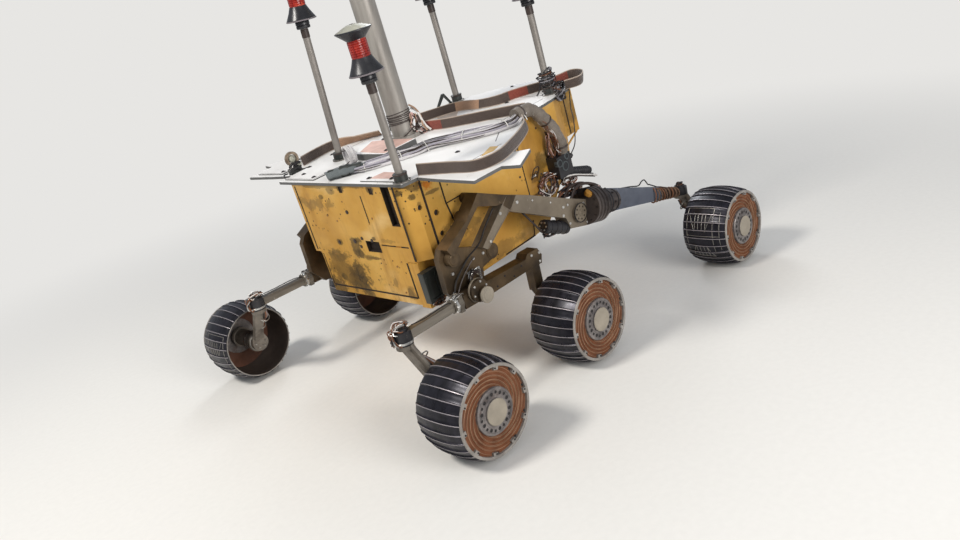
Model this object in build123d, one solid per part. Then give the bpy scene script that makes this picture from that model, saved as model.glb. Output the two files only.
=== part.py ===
from build123d import *
import os
from math import cos, sin, radians, atan2, pi

# Six-wheeled rover on a rocker-bogie suspension, in millimetres.
# +X forward, +Y left, +Z up, origin on the ground midway between the front and rear axles.
# The suspension is drawn level; the body with its deck and mast is drawn level too and then
# pitched nose-up about the rocker mounts, as the rover stands.

# Wheels
wheelbase = 1170.0
wheel_outboard = 258.0
middle_axle_x = -113.0
middle_inset = 51.0
wheel_radius = 125.0
drum_half_width = 74.0
drum_radius = 121.0
drum_edge_radius = 111.0
drum_shoulder_at = 36.0
drum_wall = 4.0
drum_bore_sides = 24
cleat_count = 30
cleat_height = wheel_radius - drum_radius
cleat_base = 5.0
rim_ring_radius = 112.5
rim_ring_width = 8.0
rim_ring_proud = 3.0
rim_tab_count = 10
rim_tab_length = 9.0
rim_tab_width = 14.0
foam_thickness = 12.0
foam_recess = 5.0
spiral_count = 8
spiral_height = 3.0
spiral_thickness = 2.0
spiral_turn = 130.0
spiral_steps = 5
hub_flange_radius = 57.5
hub_flange_thickness = 18.0
hub_flange_proud = 2.0
hub_cap_radius = 32.5
hub_cap_height = 6.0
hub_hole_circle = 44.5
hub_hole_radius = 4.0
hub_hole_depth = 5.0
hub_hole_count = 10

# Drive motors and axle shafts
drive_motor_radius = 27.0
drive_motor_reach = 86.0
drive_band_width = 12.0
axle_radius = 13.0
axle_clearance = 0.05
axle_end_gap = 4.0
motor_face_gap = 6.0

# Steering
steer_lead = 14.0
steer_rear_inset = 180.0
steer_rear_z = 262.0
steer_rear_height = 36.0
steer_front_inset = 145.0
steer_front_z = 222.0
steer_front_height = 24.0
steer_motor_radius = 23.0
steer_cap_height = 6.0
steer_gap = 0.3
fork_disc_thickness = 10.0
fork_width = 30.0
fork_depth = 14.0
fork_rib_width = 6.0

# Body
body_pitch = 3.5
mount_x = -250.0
mount_z = 505.0
body_rear_x = -423.0
body_corner_x = -388.0
body_taper_x = 10.0
body_shoulder_x = 240.0
body_front_x = 312.0
nose_front_x = 384.0
body_half_top = 272.0
body_half_rear = body_half_top - 40.0
body_half_shoulder = body_half_top - 34.0
body_half_front = body_half_top - 74.0
body_bottom_z = 268.0
body_ledge_z = 398.0
nose_bottom_z = 474.0
slope_top_z = 420.0
belly_front_x = 105.0
belly_half = body_half_top - 32.0
belly_half_rear = belly_half - 37.0
belly_half_front = body_half_front
seam_depth = 3.0
seam_width = 4.0

# Deck
deck_thickness = 8.0
deck_top_z = 621.0
body_top_z = deck_top_z - deck_thickness
plate_thickness = 3.0
raised_box_height = 20.0
instrument_circle = 120.0
instrument_hole_radius = 2.75
instrument_x = 110.0
instrument_y = 40.0

# Mast and camera head
mast_x = -65.0
mast_y = 108.0
mast_radius = 35.5
mast_length = 730.0
mast_seat = 4.0
mast_collar_radius = 54.0
mast_collar_height = 12.0
mast_bolt_circle = 90.0
mast_bolt_radius = 3.5
mast_bolt_count = 6
head_gap = 0.3
pan_radius = 33.0
pan_height = 54.0
pan_spigot_radius = 14.0
pan_spigot_depth = 20.0
yoke_half = 60.0
yoke_wall = 9.0
yoke_bridge_height = 16.0
bar_rise = 92.0
bar_height = 56.0
bar_depth = 64.0
camera_box_length = 84.0
camera_side_gap = 5.0
lens_radius = 15.0
lens_length = 14.0
trunnion_radius = 10.0
trunnion_clearance = 0.05

# Corner poles and beacons
pole_radius = 10.5
socket_radius = 18.0
socket_height = 24.0
beacon_collar_radius = 20.0
beacon_collar_height = 22.0
bell_radius = 43.0
bell_neck_radius = 24.0
bell_height = 40.0
lamp_radius = 23.0
lamp_height = 42.0
cap_radius = 45.0
cap_funnel_height = 20.0
cap_dome_height = 15.0

# Suspension, distances from the centre plane tied to the body's side
rocker_gap = 34.0
rocker_inner_y = body_half_top + rocker_gap
rocker_outer_y = rocker_inner_y + 44.0
foot_outer_y = rocker_inner_y + 20.0
bogie_inner_y = foot_outer_y + 4.0
bogie_outer_y = bogie_inner_y + 38.0
bogie_mid_y = (bogie_inner_y + bogie_outer_y) / 2
bogie_tube_z = 281.0
bogie_tube_width = 23.0
pivot_x = -343.0
pivot_z = 283.0
pivot_radius = 18.0
pivot_housing_radius = 30.0
pivot_housing_depth = 16.0
pivot_neck_depth = 10.0
pivot_cap_radius = 21.5
pivot_cap_depth = 6.0
reel_x = -284.0
reel_z = 466.0
reel_radius = 19.0
reel_depth = 14.0
lift_drum_radius = 55.0
lift_drum_length = 60.0
lift_drum_ribs = 4
lift_rib_depth = 3.0
lift_drum_x = 188.0
lift_drum_z = 332.0
arm_pitch = -11.0
neck_start_radius = 43.0
neck_end_radius = 34.0
neck_length = 74.0
lift_cap_radius = 28.0
lift_cap_depth = 10.0
lift_cap_circle = 19.0
lift_cap_x = 118.0
lift_cap_z = 334.0

# Webbing, harness and sleeve on the deck
strap_thickness = 4.0
strap_height = 31.0
cord_radius = 6.5
cord_gap = 0.3
sleeve_radius = 19.0
sleeve_wall_gap = 46.0
hank_x = -282.0
hank_y = 104.0
hank_turn = -18.0
hank_radius = 21.0
hank_thickness = 8.5
cord_sides = 8

PARTS = {}


def keep(name, *solids):
    """File the solids of one sub-part under its node name."""
    PARTS[name] = solids[0] if len(solids) == 1 else Compound(children=list(solids))


def pitched(shape):
    """Move a shape from the level body to the body's standing attitude."""
    return Pos(mount_x, 0, mount_z) * Rot(0, -body_pitch, 0) * Pos(-mount_x, 0, -mount_z) * shape


def keep_body(name, *solids):
    keep(name, *[pitched(s) for s in solids])


def slab_z(points, z0, z1):
    """Prism over an XY outline from z0 up to z1."""
    return extrude(Plane.XY.offset(z0) * make_face(Polyline(*points, close=True)), amount=z1 - z0)


def slab_y(points, y0, y1):
    """Prism over an XZ outline from y0 to y1."""
    wall = Plane(origin=(0, y1, 0), x_dir=(1, 0, 0), z_dir=(0, -1, 0))
    return extrude(wall * make_face(Polyline(*points, close=True)), amount=y1 - y0)


def rod(start, end, radius):
    """Round bar between two points."""
    axis = Vector(*end) - Vector(*start)
    return extrude(Plane(origin=start, z_dir=axis) * Circle(radius), amount=axis.length)


def cone(start, end, radius, end_radius):
    """Round taper between two points."""
    axis = Vector(*end) - Vector(*start)
    low = Plane(origin=start, z_dir=axis)
    return low * Pos(0, 0, axis.length / 2) * Cone(radius, end_radius, axis.length)


def bar(start, end, width, depth, side=(1, 0, 0)):
    """Rectangular bar between two points; width runs along side."""
    axis = Vector(*end) - Vector(*start)
    return extrude(Plane(origin=start, x_dir=side, z_dir=axis) * Rectangle(width, depth), amount=axis.length)


def left(shape):
    """Mirror image on the other side of the centre plane."""
    return mirror(shape, about=Plane.XZ)


def both(name, *shapes):
    """One node with right-hand solids and their left-hand mirror images."""
    keep(name, *shapes, *[left(s) for s in shapes])


def mirrored(points):
    """Outline given for the left half, closed by its mirror image."""
    return points + [(x, -y) for x, y in reversed(points)]


# Wheel, built about its own centre with its outer face towards -Y

def cleated_ring(radius, at):
    """Corners of the drum's outline, with its cleats, at one distance from the middle plane."""
    pitch = 2 * pi / cleat_count
    half_base = cleat_base / 2 / drum_radius
    tip = radius * (1 + cleat_height / drum_radius)
    points = []
    for i in range(cleat_count):
        middle = pitch * (i + 0.5)
        for angle, r in ((middle - half_base, radius), (middle, tip), (middle + half_base, radius)):
            points.append(Vector(r * cos(angle), at, r * sin(angle)))
    return points


def wheel_drum():
    # columns: distance from the middle plane, shell radius
    sections = [
        (-drum_half_width, drum_edge_radius),
        (-drum_shoulder_at, drum_radius),
        (drum_shoulder_at, drum_radius),
        (drum_half_width, drum_edge_radius),
    ]
    rings = [cleated_ring(radius, at) for at, radius in sections]
    walls = [rings[0], rings[-1]]
    for near, far in zip(rings, rings[1:]):
        for i in range(len(near)):
            walls.append([near[i - 1], near[i], far[i], far[i - 1]])
    barrel = Solid(Shell([Face(Wire.make_polygon(wall, close=True)) for wall in walls]))
    ground = Plane(origin=(0, drum_half_width + 1, 0), x_dir=(1, 0, 0), z_dir=(0, -1, 0))
    bore = RegularPolygon(drum_edge_radius - drum_wall, drum_bore_sides)
    return barrel - extrude(ground * bore, amount=2 * drum_half_width + 2)


def turned(profile):
    """Solid of revolution about the wheel's axis from (radius, distance along -Y) pairs."""
    return revolve(make_face(Polyline(*[(r, -out) for r, out in profile], close=True)), axis=Axis.Y)


def wheel_hub():
    face = drum_half_width
    ring_inner = rim_ring_radius - rim_ring_width
    ring_front = face + rim_ring_proud
    foam_radius = ring_inner + 1.0
    foam_front = face - foam_recess
    foam_back = foam_front - foam_thickness
    flange_front = face + hub_flange_proud
    flange_back = flange_front - hub_flange_thickness
    bore = axle_radius + axle_clearance
    bore_end = flange_front - axle_end_gap
    cap_front = flange_front + hub_cap_height
    hub = turned([
        (bore, flange_back), (hub_flange_radius, flange_back), (hub_flange_radius, foam_back),
        (foam_radius, foam_back), (foam_radius, face), (rim_ring_radius, face),
        (rim_ring_radius, ring_front), (ring_inner, ring_front), (ring_inner, foam_front),
        (hub_flange_radius, foam_front), (hub_flange_radius, flange_front),
        (hub_cap_radius, flange_front), (hub_cap_radius - 2.0, cap_front), (0, cap_front),
        (0, bore_end), (bore, bore_end),
    ])
    front = Plane(origin=(0, -foam_front, 0), x_dir=(1, 0, 0), z_dir=(0, -1, 0))
    for i in range(rim_tab_count):
        turn = 360 * (i + 0.5) / rim_tab_count
        tab = Rot(0, turn, 0) * Pos(ring_inner + 0.5 - rim_tab_length / 2, -(foam_front + ring_front) / 2, 0)
        hub += tab * Box(rim_tab_length, ring_front - foam_front, rim_tab_width)
    for i in range(spiral_count):
        blade = []
        for k in range(spiral_steps + 1):
            angle = 2 * pi * i / spiral_count + radians(spiral_turn) * k / spiral_steps
            r = hub_flange_radius - 1 + (ring_inner - hub_flange_radius) * k / spiral_steps
            blade.append((r * cos(angle), r * sin(angle)))
        hub += extrude(front * trace(Polyline(*blade), line_width=spiral_thickness), amount=spiral_height)
    for i in range(hub_hole_count):
        angle = 2 * pi * i / hub_hole_count
        x, z = hub_hole_circle * cos(angle), hub_hole_circle * sin(angle)
        hub -= rod((x, -flange_front - 1, z), (x, -flange_front + hub_hole_depth, z), hub_hole_radius)
    return hub


drum_shape = wheel_drum()
hub_shape = wheel_hub()
corner_y = body_half_top + wheel_outboard
middle_y = corner_y - middle_inset
axle_x = wheelbase / 2

# columns: name, centre x, centre distance from the centre plane, side (-1 right, 1 left)
WHEELS = [
    ("front_right", axle_x, corner_y, -1),
    ("front_left", axle_x, corner_y, 1),
    ("middle_right", middle_axle_x, middle_y, -1),
    ("middle_left", middle_axle_x, middle_y, 1),
    ("rear_right", -axle_x, corner_y, -1),
    ("rear_left", -axle_x, corner_y, 1),
]

for name, x, y, side in WHEELS:
    place = Pos(x, -y, wheel_radius)
    for node, shape in (("wheel_", drum_shape), ("hub_", hub_shape)):
        placed = place * shape
        keep(node + name, placed if side < 0 else left(placed))


# Drive motor along a wheel's axis, with the shaft that carries the hub

def drive_motor(x, y):
    face = y + drum_half_width + hub_flange_proud - hub_flange_thickness - motor_face_gap
    shaft_end = y + drum_half_width + hub_flange_proud - axle_end_gap - 2.0
    z = wheel_radius
    body = rod((x, -(y - drive_motor_reach), z), (x, -face, z), drive_motor_radius)
    for at in (face - 8, y - drive_motor_reach + 30):
        body += rod((x, -at, z), (x, -(at - drive_band_width), z), drive_motor_radius + 5.0)
    return body + rod((x, -face + 1, z), (x, -shaft_end, z), axle_radius)


# Corner forks: steering output disc and strut down to the drive motor

steer_front_x = axle_x + steer_lead
steer_front_y = corner_y - steer_front_inset
steer_rear_x = -axle_x - steer_lead
steer_rear_y = corner_y - steer_rear_inset


def fork(steer_x, steer_y, steer_z, wheel_x):
    disc_top = steer_z - steer_gap
    disc_bottom = disc_top - fork_disc_thickness
    disc = rod((steer_x, -steer_y, disc_bottom), (steer_x, -steer_y, disc_top), steer_motor_radius)
    foot_y = corner_y - drive_motor_reach + 12
    strut = bar((steer_x, -steer_y - 6, disc_bottom + 3), (wheel_x, -foot_y, wheel_radius + 6),
                fork_width, fork_depth)
    rib = bar((steer_x, -steer_y - 16, disc_bottom + 2), (wheel_x, -foot_y - 12, wheel_radius + 10),
              fork_rib_width, fork_depth + 12)
    return disc + strut + rib + drive_motor(wheel_x, corner_y)


front_fork = fork(steer_front_x, steer_front_y, steer_front_z, axle_x)
rear_fork = fork(steer_rear_x, steer_rear_y, steer_rear_z, -axle_x)
keep("fork_front_right", front_fork)
keep("fork_front_left", left(front_fork))
keep("fork_rear_right", rear_fork)
keep("fork_rear_left", left(rear_fork))


def steering_motor(x, y, z, height):
    can = rod((x, -y, z), (x, -y, z + height), steer_motor_radius)
    can += rod((x, -y, z + height), (x, -y, z + height + steer_cap_height), steer_motor_radius - 7)
    return can


front_steer = steering_motor(steer_front_x, steer_front_y, steer_front_z, steer_front_height)
rear_steer = steering_motor(steer_rear_x, steer_rear_y, steer_rear_z, steer_rear_height)
both("steering_motors", front_steer, rear_steer)


# Bogies: beam with its pivot, elbow down to the middle wheel, tube back to the rear steering

beam_rear_x = pivot_x - 56.0
elbow_x = middle_axle_x - 2.0
elbow_half = 28.0
beam_low_z = 264.0
beam_high_z = 298.0
elbow_top_z = 310.0
bogie_outline = [
    (beam_rear_x, bogie_tube_z - 18), (pivot_x + 30, beam_low_z - 2), (elbow_x - 10, beam_low_z + 2),
    (elbow_x + elbow_half - 6, beam_low_z), (elbow_x + elbow_half, elbow_top_z - 22),
    (elbow_x + elbow_half - 12, elbow_top_z), (elbow_x - elbow_half, elbow_top_z),
    (elbow_x - elbow_half - 10, beam_high_z), (pivot_x + 30, beam_high_z + 4),
    (beam_rear_x, bogie_tube_z + 19),
]
pivot_shaft = rod((pivot_x, -rocker_inner_y, pivot_z),
                  (pivot_x, -bogie_outer_y - pivot_housing_depth - pivot_neck_depth, pivot_z), pivot_radius)
bogie_right = slab_y(bogie_outline, -bogie_outer_y, -bogie_inner_y)
both("bogie_beams", bogie_right - pivot_shaft)

tube_start_x = beam_rear_x - 30
clamp_x = beam_rear_x - 8
tube_collar = rod((beam_rear_x, -bogie_mid_y, bogie_tube_z), (tube_start_x, -bogie_mid_y, bogie_tube_z), 19)
tube_collar += bar((clamp_x, -bogie_mid_y, bogie_tube_z - 22), (clamp_x, -bogie_mid_y, bogie_tube_z + 22), 14, 34)
tube_end_x = steer_rear_x + steer_motor_radius - 2.0
rear_tube = bar((tube_start_x, -bogie_mid_y, bogie_tube_z), (tube_end_x, -steer_rear_y, bogie_tube_z - 1),
                bogie_tube_width, bogie_tube_width, side=(0, 1, 0))
rear_tube = rear_tube + tube_collar - rear_steer - bogie_right
both("bogie_tubes", rear_tube)

foot_y = middle_y - drive_motor_reach + 14
knee = (elbow_x - 4, -bogie_mid_y - 4, 196)
middle_leg = bar((elbow_x, -bogie_mid_y, beam_low_z + 4), knee, 32, 28)
middle_leg += bar((knee[0], knee[1], knee[2] + 8), (elbow_x + 2, -foot_y, wheel_radius), 30, 22)
middle_leg = middle_leg - bogie_right + drive_motor(middle_axle_x, middle_y)
both("middle_legs", middle_leg)

housing_face = bogie_outer_y + pivot_housing_depth
neck_face = housing_face + pivot_neck_depth
pivot_housing = rod((pivot_x - 8, -bogie_outer_y, pivot_z + 14), (pivot_x - 8, -housing_face, pivot_z + 14),
                    pivot_housing_radius)
pivot_housing += rod((pivot_x, -bogie_outer_y, pivot_z), (pivot_x, -neck_face, pivot_z), pivot_cap_radius - 1)
both("bogie_pivots", pivot_housing - pivot_shaft)
both("pivot_caps", rod((pivot_x, -neck_face, pivot_z), (pivot_x, -neck_face - pivot_cap_depth, pivot_z),
                       pivot_cap_radius))


# Rockers: front beam with its leg, and the thinner brace behind it

beam_outline = [
    (-150, 484), (-70, 455), (86, 389), (62, 337), (-158, 441), (-262, 372), (-278, 384), (-172, 468),
]
rocker_right = slab_y(beam_outline, -rocker_outer_y, -rocker_inner_y)
both("rocker_beams", rocker_right)

brace_outline = [
    (-252, 526), (-150, 484), (-172, 468), (-196, 470), (-262, 492), (-312, 455), (-362, 414),
    (-386, 404), (-398, 424), (-312, 470),
]

foot_outline = [
    (-398, 424), (-386, 404), (-362, 414), (-278, 384), (-262, 372), (-276, 300), (-312, 262), (-372, 262),
    (-410, 306), (-412, 400),
]
foot_right = slab_y(foot_outline, -foot_outer_y, -rocker_inner_y) + pivot_shaft
for x, z, r, depth in ((-378, 392, 20, 40), (-222, 350, 22, 16)):
    foot_right += rod((x, -rocker_inner_y, z), (x, -rocker_inner_y - depth, z), r)
gusset_outline = [(-276, 372), (-240, 372), (-204, 352), (-222, 330), (-276, 318)]
foot_right += slab_y(gusset_outline, -rocker_inner_y - 14, -rocker_inner_y)
foot_right -= rocker_right
both("rocker_feet", foot_right)
both("rocker_braces", slab_y(brace_outline, -rocker_outer_y, -rocker_inner_y) - foot_right)

mount_boss = rod((mount_x + 14, -body_half_top, mount_z), (mount_x + 14, -rocker_inner_y, mount_z), 14)
reel_face_y = reel_depth - rocker_inner_y
reel = rod((reel_x, -rocker_inner_y, reel_z), (reel_x, reel_face_y, reel_z), reel_radius)
reel -= rod((reel_x, reel_face_y - 6, reel_z), (reel_x, reel_face_y + 1, reel_z), reel_radius - 7)
both("rocker_mounts", mount_boss, reel)


# Lift drums between the rocker beam and the front arm

lift_drum_y = rocker_outer_y - 5.0
drum_axis = Vector(cos(radians(arm_pitch)), 0, sin(radians(arm_pitch)))
drum_ground = Plane(origin=(lift_drum_x, -lift_drum_y, lift_drum_z), x_dir=(0, 1, 0), z_dir=drum_axis)


def drum_profile():
    """Half profile of the ribbed drum and its tapered neck: (radius, distance along the axis)."""
    half = lift_drum_length / 2
    pitch = lift_drum_length / lift_drum_ribs
    points = [(0, -half)]
    for i in range(lift_drum_ribs):
        low = -half + i * pitch
        points += [(lift_drum_radius, low), (lift_drum_radius, low + pitch * 0.6),
                   (lift_drum_radius - lift_rib_depth, low + pitch * 0.7),
                   (lift_drum_radius - lift_rib_depth, low + pitch * 0.9)]
    points += [(neck_start_radius, half), (neck_end_radius, half + neck_length), (0, half + neck_length)]
    return points


lift_face = make_face(Polyline(*drum_profile(), close=True))
lift_drum = drum_ground * Rot(90, 0, 0) * revolve(lift_face, axis=Axis.Y)
block_outline = [(86, 389), (62, 337), (74, 300), (160, 280), (166, 358)]
lift_block = slab_y(block_outline, -rocker_outer_y, -rocker_inner_y) - lift_drum
cap_face_y = -rocker_outer_y - lift_cap_depth
lift_cap = rod((lift_cap_x, -rocker_outer_y + 1, lift_cap_z), (lift_cap_x, cap_face_y, lift_cap_z), lift_cap_radius)
for i in range(8):
    x, z = lift_cap_x + lift_cap_circle * cos(pi * i / 4), lift_cap_z + lift_cap_circle * sin(pi * i / 4)
    lift_cap -= rod((x, cap_face_y - 1, z), (x, cap_face_y + 4, z), 3)
both("lift_drums", lift_drum)
both("lift_fittings", lift_block + lift_cap)
lift_motor = rod((-16, -rocker_inner_y - 22, 340), (76, -rocker_inner_y - 22, 302), 19)
both("lift_motors", lift_motor - lift_block - rocker_right)


# Front arms: plate that tapers into a sleeve at the steering motor

arm_start_x = 268.0
arm_mid_x = steer_front_x - 91.0
arm_mid_y = (lift_drum_y + steer_front_y) / 2
arm_end_x = steer_front_x - steer_motor_radius + 3.0
arm_half = 9.0


def arm_section(x, y, low, high, half):
    ground = Plane(origin=(x, -y, (low + high) / 2), x_dir=(0, 1, 0), z_dir=(1, 0, 0))
    return ground * Rectangle(2 * half, high - low)


arm_plate = loft([arm_section(arm_start_x, lift_drum_y, 282, 356, arm_half),
                  arm_section(arm_mid_x, arm_mid_y, 234, 277, arm_half)], ruled=True)
arm_sleeve = loft([arm_section(arm_mid_x, arm_mid_y, 232, 279, arm_half + 3),
                   arm_section(arm_end_x, steer_front_y, steer_front_z + 3, steer_front_z + 24,
                               arm_half + 2)], ruled=True)
both("front_arms", arm_plate - lift_drum)
both("arm_sleeves", arm_sleeve - front_steer)


# Body housing, drawn level

upper_plan = mirrored([
    (body_rear_x, body_half_rear), (body_corner_x, body_half_top), (body_taper_x, body_half_top),
    (body_shoulder_x, body_half_shoulder), (body_front_x, body_half_front), (nose_front_x, body_half_front - 6),
])
belly_plan = mirrored([
    (body_rear_x, belly_half_rear), (body_corner_x, belly_half_rear), (body_corner_x, belly_half),
    (body_taper_x, belly_half), (body_front_x, belly_half_front),
])
side_profile = [
    (body_rear_x - 1, body_bottom_z), (belly_front_x, body_bottom_z), (body_front_x - 20, slope_top_z),
    (body_front_x, nose_bottom_z), (nose_front_x, nose_bottom_z), (nose_front_x, body_top_z),
    (body_rear_x - 1, body_top_z),
]
upper_body = slab_z(upper_plan, body_ledge_z, body_top_z)
belly = slab_z(belly_plan, body_bottom_z, body_ledge_z + 1)
housing = (upper_body + belly) & slab_y(side_profile, -body_half_top - 1, body_half_top + 1)

# columns: low y, low z, high y, high z of each groove on the rear face
REAR_GROOVES = [
    (-240, 404, -236, 606), (216, 404, 220, 606), (-199, 290, -195, 392), (195, 290, 199, 392),
    (-195, 287, 195, 291), (-92, 500, -88, 584), (-226, 439, -112, 443),
]
for y0, z0, y1, z1 in REAR_GROOVES:
    housing -= Pos(body_rear_x, (y0 + y1) / 2, (z0 + z1) / 2) * Box(2 * seam_depth, y1 - y0, z1 - z0)

# columns: centre y, centre z, width, height, depth of each opening in the rear face
REAR_POCKETS = [(-205, 557, 35, 112, 16), (-72, 433, 62, 33, 14), (-7, 600, 16, 18, 4), (-142, 598, 16, 18, 4)]
for y, z, w, h, d in REAR_POCKETS:
    housing -= Pos(body_rear_x, y, z) * Box(2 * d, w, h)

# columns: x, z of both ends of each groove on the side faces
SIDE_GROOVES = [
    (-297, body_top_z, -297, 515), (-297, 515, -288, 462), (-297, 514, -244, 514), (-360, 404, -360, 606),
    (10, 404, 10, 600),
]
for x0, z0, x1, z1 in SIDE_GROOVES:
    lean = atan2(x1 - x0, z1 - z0)
    for s in (-1, 1):
        housing -= bar((x0, s * body_half_top, z0), (x1, s * body_half_top, z1), seam_width, 2 * seam_depth,
                       side=(cos(lean), 0, -sin(lean)))

# columns: x, z, radius of each hole in the side faces
SIDE_HOLES = [(-384, 540, 7), (-337, 506, 8), (-339, 448, 7)]
for x, z, r in SIDE_HOLES:
    for s in (-1, 1):
        housing -= rod((x, s * (body_half_top + 1), z), (x, s * (body_half_top - 6), z), r)
keep_body("body_housing", housing)

corner_cover = slab_z([
    (body_rear_x, -belly_half_rear), (body_corner_x, -belly_half_rear),
    (body_corner_x, -belly_half), (body_rear_x, -belly_half),
], body_bottom_z - 6, body_ledge_z)
corner_cover = fillet(corner_cover.edges().filter_by(Axis.Y).group_by(Axis.Z)[-1], 8)
keep_body("corner_cover", corner_cover)
corner_box_size = (50.0, 22.0, 88.0)
corner_box_x = body_corner_x - 21.0
corner_box_z = body_bottom_z + 60.0
corner_box = Pos(corner_box_x, -belly_half - corner_box_size[1] / 2, corner_box_z) * Box(*corner_box_size)
corner_box -= Pos(corner_box_x, -belly_half - corner_box_size[1], corner_box_z) * Box(30, 6, 70)
keep_body("corner_box", corner_box)

nose_strut = rod((nose_front_x - 12, -190, nose_bottom_z), (body_front_x - 12, -190, 438), 3.0)
nose_strut -= housing
keep_body("nose_struts", nose_strut, left(nose_strut))


# Deck

# columns: x, y of the left half of the deck's outline from the rear to the nose
DECK_HALF = [
    (-427, 288), (-379, 294), (-388, 380), (-396, 515), (-306, 520), (-298, 574), (-192, 516), (-212, 474),
    (-95, 408), (-31, 366), (10, 326), (72, 264), (240, 242), (288, 232), (345, 220), (446, 110), (468, 36),
]
deck = slab_z(mirrored(DECK_HALF), body_top_z, deck_top_z)

# columns: x, y of both ends of each groove between deck panels
DECK_GROOVES = [
    (-420, 40, -300, 40), (-130, -340, 60, -200), (60, -200, 240, -200), (60, -200, 60, 200), (60, 200, 240, 200),
    (-190, 300, -60, 300), (280, -200, 280, 200), (-290, -380, -150, -380),
]
for x0, y0, x1, y1 in DECK_GROOVES:
    deck -= bar((x0, y0, deck_top_z), (x1, y1, deck_top_z), 3.0, 3.0, side=(0, 0, 1))
for i in range(4):
    x = instrument_x + instrument_circle / 2 * cos(pi * i / 2)
    y = instrument_y + instrument_circle / 2 * sin(pi * i / 2)
    deck -= rod((x, y, deck_top_z - 6), (x, y, deck_top_z + 1), instrument_hole_radius)
keep_body("deck_plate", deck)

# columns: outline of each plate on the deck, then its height
ACCESS_PLATES = [
    ([(-414, -250), (-414, -100), (-352, -80), (-352, -175), (-372, -250)], plate_thickness),
    ([(-412, 124), (-412, 276), (-300, 296), (-286, 124)], plate_thickness),
    ([(-262, -30), (-258, 107), (-170, 190), (-138, 190), (-138, -30)], raised_box_height),
    ([(-318, 354), (-372, 354), (-376, 490), (-300, 500), (-228, 438)], plate_thickness),
]
keep_body("access_plates", *[slab_z(p, deck_top_z, deck_top_z + h) for p, h in ACCESS_PLATES])

# Fittings on the deck: harness boot, ring clamp, front bracket, small block
boot = rod((-404, 50, deck_top_z + 14), (-338, -20, deck_top_z + 14), 13.5)
boot += rod((-380, 24, deck_top_z + 14), (-362, 6, deck_top_z + 14), 16.5)
boot &= slab_z([(-500, -200), (0, -200), (0, 200), (-500, 200)], deck_top_z, deck_top_z + 60)
ring_x = -354.0
ring_y = 302.0
clamp = Pos(ring_x, ring_y, deck_top_z + 9) * Box(40, 16, 18)
clamp += Pos(ring_x + 2, ring_y, deck_top_z + 22) * Box(14, 12, 12)
bracket = slab_y([(182, deck_top_z), (266, deck_top_z), (236, deck_top_z + 47), (228, deck_top_z + 47)], 224, 231)
bracket -= slab_y([(199, deck_top_z + 8), (254, deck_top_z + 8), (233, deck_top_z + 38)], 223, 232)
end_block = Pos(28, 250, deck_top_z + 8) * Box(46, 30, 16)
keep_body("deck_fittings", boot, clamp, bracket, end_block)

# Hank of cable that stands on edge beside the rear left pole
hank_section = Pos(hank_radius, 0, 0) * Rot(90, 0, 0) * RegularPolygon(hank_thickness, cord_sides)
hank = Rot(0, 0, hank_turn) * Rot(0, 90, 0) * revolve(hank_section, axis=Axis.Z)
hank = Pos(hank_x, hank_y, deck_top_z + hank_radius + hank_thickness - 1) * hank
keep_body("cable_hank", hank - deck)

lift_ring = Pos(ring_x + 2, ring_y, deck_top_z + 44) * Rot(90, 0, 0) * (Cylinder(22, 9) - Cylinder(14, 10))
keep_body("lifting_ring", lift_ring - Pos(ring_x + 2, ring_y, deck_top_z + 22) * Box(15, 13, 13))


# Mast, drawn level with the body

mast_foot_z = deck_top_z + mast_seat
mast_top_z = mast_foot_z + mast_length
collar = rod((mast_x, mast_y, deck_top_z), (mast_x, mast_y, deck_top_z + mast_collar_height), mast_collar_radius)
collar -= rod((mast_x, mast_y, mast_foot_z), (mast_x, mast_y, deck_top_z + 30), mast_radius)
for i in range(mast_bolt_count):
    angle = 2 * pi * i / mast_bolt_count
    x = mast_x + mast_bolt_circle / 2 * cos(angle)
    y = mast_y + mast_bolt_circle / 2 * sin(angle)
    collar -= rod((x, y, mast_foot_z), (x, y, deck_top_z + 30), mast_bolt_radius)
keep_body("mast_collar", collar)

spigot_bottom = mast_top_z - pan_spigot_depth
mast_tube = rod((mast_x, mast_y, mast_foot_z), (mast_x, mast_y, mast_top_z), mast_radius)
mast_tube -= rod((mast_x, mast_y, spigot_bottom - 2), (mast_x, mast_y, mast_top_z + 1),
                 pan_spigot_radius + trunnion_clearance)
keep_body("mast_tube", mast_tube)

pan_z = mast_top_z + head_gap
bar_z = pan_z + bar_rise
pan = rod((mast_x, mast_y, pan_z), (mast_x, mast_y, pan_z + pan_height), pan_radius)
bridge_z = pan_z + pan_height - yoke_bridge_height
pan += Pos(mast_x, mast_y, bridge_z + yoke_bridge_height / 2) * Box(44, 2 * yoke_half, yoke_bridge_height)
for s in (-1, 1):
    ear = slab_y([(-22, bridge_z), (22, bridge_z), (14, bar_z + 16), (-14, bar_z + 16)],
                 -yoke_wall / 2, yoke_wall / 2)
    pan += Pos(mast_x, mast_y + s * (yoke_half - yoke_wall / 2), 0) * ear
pan -= rod((mast_x, mast_y - yoke_half - 1, bar_z), (mast_x, mast_y + yoke_half + 1, bar_z),
           trunnion_radius + trunnion_clearance)
pan += rod((mast_x, mast_y, spigot_bottom), (mast_x, mast_y, pan_z + 1), pan_spigot_radius)
keep_body("mast_pan_head", pan)

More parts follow.
